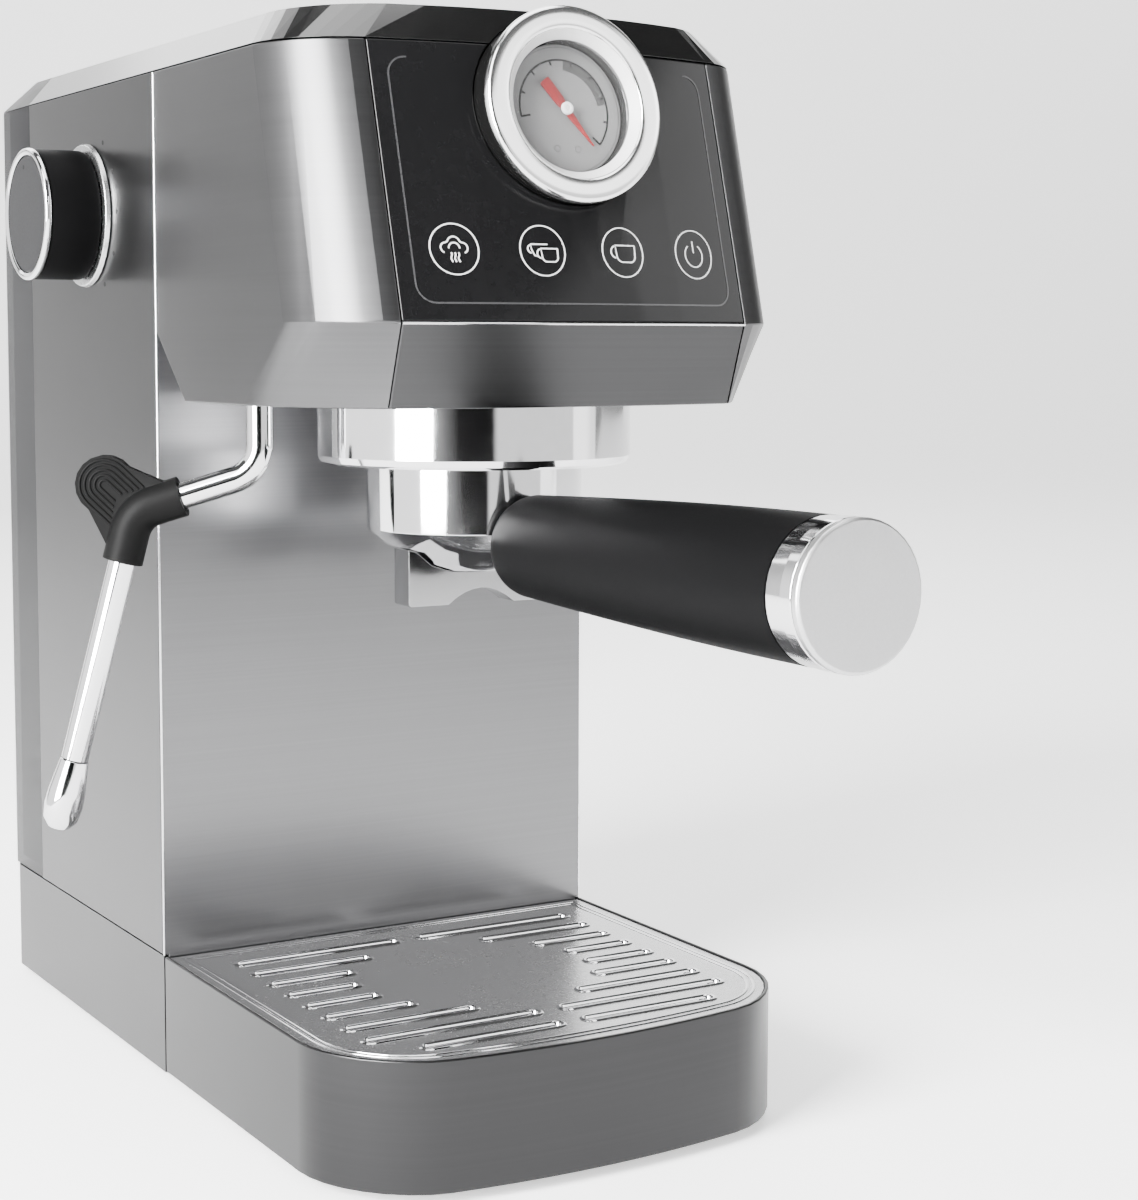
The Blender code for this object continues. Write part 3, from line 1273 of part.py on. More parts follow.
def build_lid(lid):
    half = HALF_WIDTH - TANK_SIDE_INSET
    front = SIDE_BACK + 2 * GAP
    bottom = BODY_TOP + GAP
    top = COVER_TOP
    inset = COVER_SIDE_INSET - TANK_SIDE_INSET
    low_out = u_path(half, front, TANK_BACK, TANK_CORNER, TANK_CORNER)
    high_out = u_path(half - inset, front, TANK_BACK - LID_BACK_INSET, LID_CORNER, LID_CORNER)
    wall = TANK_WALL
    low_in = u_path(half - wall, front + wall, TANK_BACK - wall, TANK_CORNER - wall, TANK_CORNER - wall)
    share = (COVER_HEIGHT - GAP - wall) / (COVER_HEIGHT - GAP)
    high_in = u_path(
        half - inset * share - wall,
        front + wall,
        TANK_BACK - LID_BACK_INSET * share - wall,
        LID_CORNER - wall,
        LID_CORNER - wall,
    )
    shell = closed_loft(
        [
            at_height(high_in, top - wall),
            at_height(low_in, bottom),
            at_height(low_out, bottom),
            at_height(high_out, top),
        ]
    )
    cover = piece("tank_lid", shell, "smoke_plastic", lid)
    start = HINGE_HALF_SPAN - HINGE_KNUCKLE
    for side in (-1, 1):
        join(cover, f"knuckle_{side + 2}", knuckle(side, start, HINGE_KNUCKLE))
        join(cover, f"arm_{side + 2}", knuckle_arm(side, start, HINGE_KNUCKLE, 1))
    cut(cover, "pin_hole", hinge_bar(HINGE_PIN_RADIUS + GAP, HINGE_HALF_SPAN + WALL))


# ---------------------------------------------------------------- inside


def build_inside(root):
    seat_low = BASE_HEIGHT - SEAT_DEPTH
    bore = VALVE_RADIUS + 1 * MM
    outer = SEAT_RADIUS
    seat = [(0, seat_low), (outer, seat_low), (outer, BASE_HEIGHT), (bore, BASE_HEIGHT)]
    seat += [(bore, seat_low + 2 * MM), (0, seat_low + 2 * MM)]
    piece("tank_seat", lathe(seat, (0, VALVE_Y, 0), steps=24), "black_rubber", root)

    centre = (PUMP_SIDE, 0, PUMP_Z)
    front = PUMP_FRONT
    back = front + PUMP_LENGTH
    pump = [
        (0, front),
        (PUMP_NOSE_RADIUS, front),
        (PUMP_NOSE_RADIUS, front + PUMP_NOSE_LENGTH),
        (PUMP_RADIUS, front + PUMP_NOSE_LENGTH),
        (PUMP_RADIUS, back - PUMP_NOSE_LENGTH),
        (PUMP_NOSE_RADIUS, back - PUMP_NOSE_LENGTH),
        (PUMP_NOSE_RADIUS, back),
        (0, back),
    ]
    piece("pump", lathe(pump, centre, (0, 1, 0), 24), "satin_metal", root)
    mount_outer = PUMP_Z - PLATE_THICKNESS - GAP
    mount_inset = PUMP_NOSE_LENGTH + 5 * MM
    for i, y in enumerate((front + mount_inset, back - mount_inset - MOUNT_WIDTH)):
        mount = [
            (PUMP_RADIUS + GAP, y),
            (mount_outer, y),
            (mount_outer, y + MOUNT_WIDTH),
            (PUMP_RADIUS + GAP, y + MOUNT_WIDTH),
        ]
        piece(f"pump_mount_{i + 1}", lathe(mount, centre, (0, 1, 0), 24), "black_rubber", root)
    build_hose(root, seat_low, back)

    board_low = BASE_HEIGHT + BOARD_LIFT
    board_y = SHEET + BOARD_STANDOFF
    board = block(
        (-BOARD_HALF_WIDTH, board_y, board_low), (BOARD_HALF_WIDTH, board_y + BOARD_THICKNESS, board_low + BOARD_HEIGHT)
    )
    piece("control_board", board, "board_green", root)

    flange = BASE_BACK + GAP
    neck = INLET_NECK_RADIUS - GAP
    inlet = [
        (0, flange - INLET_DEPTH),
        (neck, flange - INLET_DEPTH),
        (neck, flange),
        (INLET_RADIUS, flange),
        (INLET_RADIUS - 1 * MM, flange + INLET_COLLAR),
        (INLET_BORE, flange + INLET_COLLAR),
        (INLET_BORE, flange - INLET_DEPTH / 2),
        (0, flange - INLET_DEPTH / 2),
    ]
    piece("power_inlet", lathe(inlet, (INLET_SIDE, 0, INLET_Z), (0, 1, 0), 24), "black_rubber", root)


def build_hose(root, seat_low, pump_back):
    """The suction hose: down from the tank seat, then forward into the pump's tail."""
    start = Vector((0, VALVE_Y - HOSE_OFFSET, seat_low - 4 * GAP))
    corners = [
        start,
        Vector((0, VALVE_Y - HOSE_OFFSET, PUMP_Z - 1 * MM)),
        Vector((PUMP_SIDE, pump_back + 14 * MM, PUMP_Z - 1 * MM)),
        Vector((PUMP_SIDE, pump_back + GAP, PUMP_Z)),
    ]
    curve = bpy.data.curves.new("suction_hose", "CURVE")
    curve.dimensions = "3D"
    curve.bevel_depth = HOSE_RADIUS
    curve.bevel_resolution = 2
    curve.use_fill_caps = True
    points = smooth_route(corners)
    spline = curve.splines.new("POLY")
    spline.points.add(len(points) - 1)
    for slot, point in zip(spline.points, points):
        slot.co = (*point, 1)
    hose = bpy.data.objects.new("suction_hose", curve)
    bpy.context.scene.collection.objects.link(hose)
    curve.materials.append(make_material("suction_hose", "white_plastic"))
    hang(hose, root)


def smooth_route(corners, steps=14):
    """Points on the cubic Bezier curve that these four corners steer."""
    a, b, c, d = corners
    route = []
    for k in range(steps + 1):
        t = k / steps
        route.append((1 - t) ** 3 * a + 3 * t * (1 - t) ** 2 * b + 3 * t**2 * (1 - t) * c + t**3 * d)
    return route


# ---------------------------------------------------------------- assembly


def centre_on_floor(root):
    """Shifts the whole machine so that its box is centred over the origin with its feet on the floor."""
    bpy.context.view_layer.update()
    graph = bpy.context.evaluated_depsgraph_get()
    low = Vector((math.inf,) * 3)
    high = Vector((-math.inf,) * 3)
    for obj in bpy.context.scene.objects:
        if obj.type == "EMPTY" or obj.hide_render:
            continue
        shown = obj.evaluated_get(graph)
        mesh = shown.to_mesh()
        for vertex in mesh.vertices:
            place = obj.matrix_world @ vertex.co
            low = Vector(map(min, low, place))
            high = Vector(map(max, high, place))
        shown.to_mesh_clear()
    middle = (low + high) / 2
    root.location = (-middle.x, -middle.y, -low.z)


def main():
    start_clean()
    root = add_group("machine", (0, 0, 0), None)
    tray = add_group("tray_slide", (0, -TRAY_LENGTH, 0), root)
    grate = add_group("grate_lift", (0, GROUP_Y, GRATE_TOP), tray)
    needle = add_group("needle_axis", gauge_centre(), root)
    holder = add_group("portafilter_axis", (0, GROUP_Y, FILTER_BOTTOM), root)
    wand = add_group("wand_axis", (wand_x(), WAND_Y, HEAD_BOTTOM), root)
    knob = add_group("knob_axis", (-HALF_WIDTH, KNOB_Y, knob_z()), root)
    tank = add_group("tank_lift", (0, VALVE_Y, BASE_HEIGHT), root)
    lid = add_group("lid_axis", (0, HINGE_Y, HINGE_Z), tank)
    build_base(root)
    build_tray(tray)
    build_grate(grate)
    build_column(root)
    build_head(root)
    build_touch_board(root)
    build_cover(root)
    build_gauge(root, needle)
    build_group(root)
    build_portafilter(holder)
    build_wand(wand, root)
    build_knob(knob, root)
    build_tank(tank)
    build_lid(lid)
    build_inside(root)
    centre_on_floor(root)


main()
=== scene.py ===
"""Looks, floor, light and camera for the espresso machine, round its fixed CAD frame."""

import json
import math

import bmesh
import bpy
from mathutils import Matrix, Vector


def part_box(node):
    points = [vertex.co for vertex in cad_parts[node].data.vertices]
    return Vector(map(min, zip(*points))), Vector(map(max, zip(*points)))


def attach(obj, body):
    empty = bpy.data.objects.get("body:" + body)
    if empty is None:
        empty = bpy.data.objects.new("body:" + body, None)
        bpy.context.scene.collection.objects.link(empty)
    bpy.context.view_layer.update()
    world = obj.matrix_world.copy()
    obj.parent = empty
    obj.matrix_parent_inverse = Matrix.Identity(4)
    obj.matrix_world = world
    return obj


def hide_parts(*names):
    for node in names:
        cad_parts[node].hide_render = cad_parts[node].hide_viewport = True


MM = 0.001
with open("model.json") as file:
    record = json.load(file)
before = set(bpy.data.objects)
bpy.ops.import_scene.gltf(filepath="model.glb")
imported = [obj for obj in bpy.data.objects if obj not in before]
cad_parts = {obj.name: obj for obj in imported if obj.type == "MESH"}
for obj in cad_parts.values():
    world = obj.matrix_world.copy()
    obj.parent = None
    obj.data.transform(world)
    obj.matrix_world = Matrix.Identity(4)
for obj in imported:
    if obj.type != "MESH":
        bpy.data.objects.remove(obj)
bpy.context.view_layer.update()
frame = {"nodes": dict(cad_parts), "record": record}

# ------------------------------------------------------------ places taken from the frame

column_low, column_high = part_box("column_front")
ORIGIN = Vector(((column_low.x + column_high.x) / 2, column_low.y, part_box("base_shell")[0].z))


def at(x, y, z):
    """A point in millimetres from the machine's mid-plane, the column's front and the base's lower edge."""
    return ORIGIN + Vector((x, y, z)) * MM


# Sizes in millimetres, angles in degrees.
HALF_WIDTH = 75.0
BASE_HEIGHT = 36.7
BODY_TOP = 305.0
CREASE_Z = 230.4
CREASE_FRONT = -120.8
HEAD_TOP_FRONT = -100.2
GLASS_HALF = 54.3
HEAD_BOW = 6.5
TRAY_LENGTH = 126.4
TRAY_CORNER = 29.1
TRAY_BOW = 9.5
GRATE_TOP = 36.2
GROUP_Y = -61.0

GAUGE_FRONT = -118.6
GAUGE_Z = 289.4
GAUGE_TILT = 10.85
DIAL_DEPTH = 7.2
DIAL_LIFT = 0.02
BEZEL_PROFILE = [(27.25, -2.6), (27.25, -1.2), (27.0, -0.6), (26.5, -0.2), (25.8, 0.0), (24.5, 0.01), (23.0, 0.01),
                 (21.7, 0.0), (21.1, -0.15), (20.8, -0.5), (18.5, -3.2), (18.5, -4.2), (24.5, -4.2), (24.5, -2.6)]
SLOPE_PROFILE = [(20.75, -0.52), (18.5, -3.16), (18.3, -3.0), (20.55, -0.40)]
FACE_PROFILE = [(0, -8.2), (18.3, -8.2), (18.3, -7.5), (18.0, -7.2), (0, -7.2)]
HUB_PROFILE = [(0, 1.32), (1.7, 1.32), (1.75, 2.0), (1.55, 2.35), (0.9, 2.45), (0.7, 2.3), (0, 2.3)]
SCALE_START = -41
SCALE_SWEEP = 231
SCALE_LINE = (13.9, 0.60)
TICK_COUNT = 9
TICK_WIDTH = 0.62
TICK_OUTER = 14.0
TICK_INNER_LONG = 11.0
TICK_INNER_SHORT = 12.5
BAND_LINE = (12.35, 2.7)
BAND_ANGLES = (8.8, 85.6)
SMALL_RING_PLACES = (-3.3, 3.3)
SMALL_RING_DROP = -10.8
SMALL_RING_LINE = (0.9, 0.16)
DIAL_RIM_LINE = (17.4, 0.14)
NEEDLE_ANGLE = -52.0
NEEDLE_EDGE = [(12.6, 0.12), (3.0, 0.95), (-1.0, 1.15), (-3.0, 1.55), (-9.6, 1.65), (-9.9, 1.3)]
NEEDLE_LEVELS = [(0.72, 0.92), (0.80, 1.0), (1.18, 1.0), (1.30, 0.8)]

ICON_Z = 249.5
ICON_PLACES = (-38, -12.7, 12.7, 38)
ICON_RING = (6.7, 0.34)
ICON_LINE = 0.36
FRONT_CUP_SCALE = 0.78
FRONT_CUP_SHIFT = (1.3, -0.9)
BORDER_HALF = 49.6
BORDER_LOW = 235.4
BORDER_HIGH = 300.4
BORDER_CORNER = 5.0
BORDER_WIDTH = 0.45

FASCIA_LINE_RADIUS = 0.34
FASCIA_LINE_DROP = 0.35
COLUMN_LINE_RADIUS = 0.32
COLUMN_LINE_INSET = 0.05
COLUMN_LINE_BACK = 0.15
COLUMN_LINE_END = 0.3

SLOT_ROWS = 9
SLOT_FIRST_Y = -18.0
SLOT_PITCH = 12.5
SLOT_RADIUS = 1.8
SLOT_REACH = 58.5
LAST_SLOT_REACH = 47.0
SLOT_INNER = 4.0
CUP_DISC_RADIUS = 36.5
RIM_SECTION = [(3.3, 0.0), (3.0, 0.34), (2.55, 0.48), (2.1, 0.40), (1.75, 0.1), (1.6, -0.9), (2.8, -0.9)]
BEAD_SECTION = [(-0.55, 0.0), (-0.4, 0.22), (0.0, 0.32), (0.4, 0.22), (0.55, 0.0), (0.4, -0.3), (-0.4, -0.3)]
BEAD_PLACES = ((4.6, -3.6), (6.6, -5.6))

WAND_X = -61.7
WAND_Y = -46.0
WAND_RADIUS = 3.9
WAND_HEADING = 30.0
WAND_BEND = 11.0
WAND_TOP = (0, 221.6)
WAND_ELBOW = (0, 188.0)
WAND_KNEE = (36.3, 176.6)
WAND_TIP = (54.6, 104.6)
RIDGE_COUNT = 5
RIDGE_RADIUS = 7.2
RIDGE_PITCH = 1.45
RIDGE_CENTRE = 11.2
RIDGE_START = 2.6
RIDGE_START_STEP = 0.8
RIDGE_FACE = 2.2
RIDGE_THICKNESS = 0.42

KNOB_Y = 59.5
KNOB_Z = 265.2
KNOB_PROFILE = [(0, 12.2), (3.3, 12.2), (3.3, 2.2), (19.4, 2.2), (20.2, 2.6), (20.5, 3.4), (20.5, 17.6), (20.3, 18.2),
                (0, 18.2)]
KNOB_RING_PROFILE = [(18.6, 18.5), (20.2, 18.5), (20.7, 18.8), (20.8, 19.4), (20.6, 20.2), (20.0, 20.6), (19.3, 20.5),
                     (19.0, 20.2), (18.6, 20.0)]
KNOB_CAP_PROFILE = [(0, 18.5), (18.3, 18.5), (18.3, 19.7), (17.8, 20.05), (12.0, 20.1), (0, 20.1)]
DOT_RADIUS = 0.75
MARK_ANGLE = -8
MARK_REACH = 15.0
MARK_HEIGHTS = (20.0, 20.2)
DOT_ANGLES = (35, 62, 90, 118, 145)
DOT_REACH = 27.0
DOT_HEIGHTS = (0.0, 0.10)

HANDLE_Z = 167.8
HANDLE_START = 32.4
HANDLE_SHOULDER = [(8.3, 0.0), (11.2, 0.0), (12.6, 0.5), (13.6, 1.6), (14.3, 3.4)]
HANDLE_NEAR_RADIUS = 14.6
HANDLE_SWELL = 3.4
HANDLE_RUN = 130.7
HANDLE_STEPS = 17
HANDLE_END = [(18.0, 168.0), (17.7, 168.1), (4.3, 168.1), (4.3, 41.9), (8.3, 41.9)]

# ------------------------------------------------------------ materials


class Nodes:
    """Short ways to add and join shader nodes in one tree."""

    def __init__(self, tree):
        self.tree = tree
        tree.nodes.clear()

    def add(self, kind, values=None, **settings):
        node = self.tree.nodes.new(kind)
        for key, value in settings.items():
            setattr(node, key, value)
        for key, value in (values or {}).items():
            self.put(node.inputs[key], value)
        return node

    def put(self, socket, value):
        if isinstance(value, bpy.types.NodeSocket):
            self.tree.links.new(value, socket)
        else:
            socket.default_value = value

    def math(self, operation, a, b=0.0):
        return self.add("ShaderNodeMath", {0: a, 1: b}, operation=operation).outputs[0]

    def spread(self, value, low, high, start=0.25, end=0.75):
        """value from start..end spread to low..high."""
        values = {"Value": value, "From Min": start, "From Max": end, "To Min": low, "To Max": high}
        return self.add("ShaderNodeMapRange", values).outputs[0]

    def noise(self, scale, detail):
        coords = self.add("ShaderNodeTexCoord").outputs["Object"]
        place = self.add("ShaderNodeMapping", {"Vector": coords, "Scale": scale})
        values = {"Vector": place.outputs[0], "Scale": 1.0, "Detail": detail, "Roughness": 0.6}
        return self.add("ShaderNodeTexNoise", values).outputs["Fac"]


def even(value):
    return (value, value, value)


PATCH_SCALE = even(17)
PATCH_DETAIL = 3.0
RELIEF_STRENGTH = 0.6
LEAST_ROUGHNESS = 0.02
COAT_ROUGHNESS = 0.05


def finish_of(name, colour, roughness, metallic=0.0, grain=even(900), tone=0.08, span=0.05, bump=0.00001,
              wear=0.06, detail=4.0, anisotropy=0.0, coat=0.0, ior=1.5, see=0.0, through=0.45, tangent=None):
    """A procedural surface: fine grain drives colour, roughness and bump; broad patches add handling marks."""
    material = bpy.data.materials.new(name)
    material.use_nodes = True
    make = Nodes(material.node_tree)
    fine = make.noise(grain, detail)
    broad = make.noise(PATCH_SCALE, PATCH_DETAIL)
    shade = make.math("MULTIPLY", make.spread(fine, 1 - tone, 1 + tone), make.spread(broad, 1 - wear, 1 + wear))
    base = make.add("ShaderNodeMix", {0: 1.0, 6: (*colour, 1.0)}, data_type="RGBA", blend_type="MULTIPLY")
    grey = make.add("ShaderNodeCombineColor", {0: shade, 1: shade, 2: shade})
    make.put(base.inputs[7], grey.outputs[0])
    patches = make.spread(broad, roughness - span, roughness + span)
    rough = make.math("ADD", make.spread(fine, -span, span), patches)
    relief = make.add("ShaderNodeBump", {"Strength": RELIEF_STRENGTH, "Distance": bump, "Height": fine})
    shader = make.add("ShaderNodeBsdfPrincipled", {
        "Base Color": base.outputs[2], "Roughness": make.math("MAXIMUM", rough, LEAST_ROUGHNESS),
        "Metallic": metallic, "Normal": relief.outputs[0], "IOR": ior, "Anisotropic": anisotropy,
        "Coat Weight": coat, "Coat Roughness": COAT_ROUGHNESS})
    if tangent:
        way = make.add("ShaderNodeTangent", direction_type="RADIAL", axis=tangent)
        make.put(shader.inputs["Tangent"], way.outputs[0])
    last = shader.outputs[0]
    if see:
        clear = make.add("ShaderNodeBsdfTransparent", {"Color": (*even(through), 1.0)})
        last = make.add("ShaderNodeMixShader", {0: 1 - see, 1: clear.outputs[0], 2: last}).outputs[0]
    make.add("ShaderNodeOutputMaterial", {"Surface": last})
    material.diffuse_color = (*colour, 1.0)
    return material


STREAK = (5, 5, 1200)
PRINT = dict(roughness=0.5, grain=even(2600), bump=0.000001, ior=1.15)
BRUSHED = dict(roughness=0.29, metallic=1.0, grain=STREAK, tone=0.045, span=0.010, bump=0.0000003, wear=0.02,
               detail=2.0, anisotropy=0.5, tangent="Z")
LOOKS = {
    "brushed_steel": dict(BRUSHED, colour=(0.140, 0.140, 0.143)),
    "bright_steel": dict(colour=(0.56, 0.56, 0.565), roughness=0.27, metallic=1.0, grain=even(500), tone=0.012,
                         span=0.006, bump=0.00000005, wear=0.03),
    "chrome": dict(colour=(0.80, 0.80, 0.81), roughness=0.075, metallic=1.0, grain=even(300), tone=0.02,
                   span=0.012, bump=0.0000015, wear=0.02),
    "satin_metal": dict(colour=(0.50, 0.50, 0.505), roughness=0.34, metallic=1.0, grain=even(1400), tone=0.05,
                        bump=0.000004),
    "aluminium": dict(colour=(0.66, 0.66, 0.67), roughness=0.42, metallic=1.0, grain=even(700), bump=0.00003),
    "brass": dict(colour=(0.70, 0.52, 0.24), roughness=0.30, metallic=1.0, grain=(40, 40, 1800)),
    "gloss_black": dict(colour=even(0.003), roughness=0.13, grain=even(500), span=0.015, bump=0.000003, ior=1.7),
    "black_glass": dict(colour=(0.004, 0.004, 0.0042), ior=1.24, roughness=0.08, grain=even(260), span=0.02,
                        bump=0.000002, wear=0.10),
    "matte_black": dict(colour=(0.002, 0.002, 0.0021), roughness=0.50, grain=even(2400), bump=0.000003, ior=1.09),
    "black_rubber": dict(colour=even(0.003), roughness=0.50, grain=even(1800), bump=0.000005, ior=1.12),
    "red_rubber": dict(colour=(0.42, 0.09, 0.06), roughness=0.55, grain=even(1500), bump=0.00003),
    "smoke_plastic": dict(colour=(0.006, 0.006, 0.007), ior=1.3, roughness=0.10, grain=even(60), span=0.02,
                          bump=0.000002, see=0.45),
    "dial_grey": dict(colour=even(0.15), roughness=0.50, grain=even(2200), tone=0.03, bump=0.000001, ior=1.18),
    "needle_red": dict(colour=(0.16, 0.005, 0.007), roughness=0.42, grain=even(1800), bump=0.000001, ior=1.15),
    "white_plastic": dict(colour=even(0.66), roughness=0.38, grain=even(1500)),
    "clear_lens": dict(colour=even(0.9), roughness=0.04, grain=even(200), span=0.01, bump=0.000001, see=0.985,
                       through=0.99),
    "knob_grey": dict(colour=(0.010, 0.010, 0.0105), roughness=0.34, grain=(30, 1300, 1300), tone=0.04,
                      bump=0.000001, ior=1.12),
    "board_green": dict(colour=(0.03, 0.16, 0.07), roughness=0.45, grain=even(420), tone=0.4, bump=0.0001),
    # Shades that follow no slot of the record: darker copies of the brushed steel and the chrome that paint shade on
    # the sheets and the spout's casting, a brighter chrome that paints a highlight on the gauge ring, and prints.
    # Painted shade: darker copies of the brushed steel for the base, tray, fascia, side panels and hood.
    "low_steel_painted_shade": dict(BRUSHED, colour=(0.029, 0.029, 0.029 * 1.02)),
    "fascia_steel_painted_shade": dict(BRUSHED, colour=(0.042, 0.042, 0.042 * 1.02)),
    "panel_steel_painted_shade": dict(BRUSHED, colour=(0.042, 0.042, 0.042 * 1.02)),
    "hood_steel_painted_shade": dict(BRUSHED, colour=(0.070, 0.070, 0.070 * 1.02)),
    # Painted shade: a darker copy of the chrome for the spout.
    "spout_chrome_painted_shade": dict(colour=(0.34, 0.34, 0.345), roughness=0.13, metallic=1.0, grain=even(300), tone=0.03,
                        span=0.02, bump=0.000002, wear=0.04),
    # Painted highlight: a brighter, whiter copy of the chrome for the gauge ring.
    "gauge_chrome_painted_highlight": dict(colour=even(0.92), roughness=0.16, metallic=1.0, grain=even(300), tone=0.01, span=0.01,
                         bump=0.0000005, wear=0.01),
    "print_black": dict(PRINT, colour=even(0.01)),
    "print_grey": dict(PRINT, colour=even(0.05)),
    "print_pale": dict(colour=even(0.50), roughness=0.45, grain=even(2600)),
    "frame_line": dict(colour=(0.022, 0.022, 0.023), roughness=0.30, grain=even(900)),
}
MATERIALS = {slot: finish_of(slot, **look) for slot, look in LOOKS.items()}

# ------------------------------------------------------------ mesh helpers


def closed_loft(loops):
    """A solid through these closed loops, with a flat end at the first and the last."""
    count = len(loops[0])
    faces = [tuple(range(count)), tuple((len(loops) - 1) * count + i for i in range(count))]
    for level in range(len(loops) - 1):
        for i in range(count):
            a = level * count + i
            b = level * count + (i + 1) % count
            faces.append((a, b, b + count, a + count))
    return [p for loop in loops for p in loop], faces


def ring_loft(loops):
    """A closed band through these closed loops and back to the first."""
    count = len(loops[0])
    total = len(loops) * count
    faces = []
    for level in range(len(loops)):
        for i in range(count):
            a = level * count + i
            b = level * count + (i + 1) % count
            faces.append((a, b, (b + count) % total, (a + count) % total))
    return [p for loop in loops for p in loop], faces


def joined(shapes):
    verts, faces = [], []
    for more_verts, more_faces in shapes:
        faces += [tuple(i + len(verts) for i in face) for face in more_faces]
        verts += more_verts
    return verts, faces


def smooth(obj, angle):
    obj.data.shade_smooth()
    obj.data.set_sharp_from_angle(angle=math.radians(angle))


def round_edges(obj, width, angle, segments):
    modifier = obj.modifiers.new("edge", "BEVEL")
    modifier.width = width * MM
    modifier.segments = segments
    modifier.limit_method = "ANGLE"
    modifier.angle_limit = math.radians(angle)
    modifier.harden_normals = True


def add_piece(name, shape, slot, body, material=None, replaces=(), angle=32.0):
    mesh = bpy.data.meshes.new(name)
    mesh.from_pydata([tuple(v) for v in shape[0]], [], shape[1])
    work = bmesh.new()
    work.from_mesh(mesh)
    bmesh.ops.recalc_face_normals(work, faces=work.faces)
    work.to_mesh(mesh)
    work.free()
    obj = bpy.data.objects.new(name, mesh)
    bpy.context.scene.collection.objects.link(obj)
    mesh.materials.append(MATERIALS[material or slot])
    smooth(obj, angle)
    if replaces:
        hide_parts(*replaces)
    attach(obj, body)
    return obj


WELD_DISTANCE = 0.004
FLAT_ANGLE = 0.4


def refined(node, slot, body, bevel, angle=30.0, segments=3, material=None):
    """A finer copy of a CAD node: welded, flat parts merged, smooth curves and small rounded edges."""
    mesh = frame["nodes"][node].data.copy()
    mesh.name = node + "_fine"
    mesh.materials.clear()
    mesh.materials.append(MATERIALS[material or slot])
    work = bmesh.new()
    work.from_mesh(mesh)
    bmesh.ops.remove_doubles(work, verts=work.verts, dist=WELD_DISTANCE * MM)
    bmesh.ops.dissolve_limit(work, angle_limit=math.radians(FLAT_ANGLE), verts=work.verts, edges=work.edges)
    bmesh.ops.recalc_face_normals(work, faces=work.faces)
    for face in work.faces:
        face.material_index = 0
    work.to_mesh(mesh)
    work.free()
    obj = bpy.data.objects.new(node + "_fine", mesh)
    bpy.context.scene.collection.objects.link(obj)
    smooth(obj, angle)
    round_edges(obj, bevel, angle, segments)
    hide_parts(node)
    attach(obj, body)
    return obj


def lathe(profile, origin, axis, steps=96):
    """A solid of revolution from a closed (radius, height) profile in millimetres."""
    turn = Vector((0, 0, 1)).rotation_difference(Vector(axis).normalized()).to_matrix()
    verts, rows, faces = [], [], []
    for radius, height in profile:
        row = []
        for i in range(1 if radius < 1e-6 else steps):
            a = 2 * math.pi * i / steps
            row.append(len(verts))
            verts.append(Vector(origin) + turn @ Vector((radius * math.cos(a), radius * math.sin(a), height)) * MM)
        rows.append(row)
    for here, there in zip(rows, rows[1:] + rows[:1]):
        if len(here) == 1 and len(there) == 1:
            continue
        for i in range(steps):
            j = (i + 1) % steps
            corners = [here[i % len(here)], here[j % len(here)], there[j % len(there)], there[i % len(there)]]
            faces.append(tuple(dict.fromkeys(corners)))
    return verts, faces


def rounded_path(corners, radius, steps=12):
    """The line through these corners, with each inner corner turned on this radius."""
    points = [Vector(c) for c in corners]
    path = [points[0]]
    for before, corner, after in zip(points, points[1:], points[2:]):
        arriving = (corner - before).normalized()
        leaving = (after - corner).normalized()
        bend = arriving.angle(leaving)
        middle = (leaving - arriving).normalized()
        centre = corner + middle * (radius / math.cos(bend / 2))
        start = corner - arriving * radius * math.tan(bend / 2) - centre
        axis = arriving.cross(leaving)
        path += [centre + Matrix.Rotation(bend * k / steps, 3, axis) @ start for k in range(steps + 1)]
    return path + [points[-1]]


def sweep(path, radius, across, steps=12):
    """A round bar along a flat path, square to the direction across."""
    loops = []
    for i, point in enumerate(path):
        along = (path[min(i + 1, len(path) - 1)] - path[max(i - 1, 0)]).normalized()
        up = across.cross(along)
        angles = [2 * math.pi * k / steps for k in range(steps)]
        loops.append([point + radius * MM * (math.cos(a) * across + math.sin(a) * up) for a in angles])
    return closed_loft(loops)


def strip(points, width, place, closed=False, thick=0.12):
    """A thin flat line of a given width through 2-D points; place(u, v, lift) puts it on its surface."""
    count = len(points)
    sides = ([], [])
    for i, (u, v) in enumerate(points):
        before = points[(i - 1) % count] if closed or i else points[i]
        after = points[(i + 1) % count] if closed or i < count - 1 else points[i]
        du, dv = after[0] - before[0], after[1] - before[1]
        size = math.hypot(du, dv) or 1.0
        for side, sign in zip(sides, (-1, 1)):
            side.append((u - sign * dv / size * width / 2, v + sign * du / size * width / 2))
    left, right = sides
    if closed:
        loops = [[place(*p, lift) for p in side] for side, lift in
                 ((left, 0), (left, thick), (right, thick), (right, 0))]
        return ring_loft(loops)
    return closed_loft([[place(*a, 0), place(*a, thick), place(*b, thick), place(*b, 0)]
                        for a, b in zip(left, right)])


def arc(cx, cy, radius, start, end, steps=24):
    return [(cx + radius * math.cos(math.radians(start + (end - start) * k / steps)),
             cy + radius * math.sin(math.radians(start + (end - start) * k / steps))) for k in range(steps + 1)]


# ------------------------------------------------------------ finer copies of the CAD's visible parts

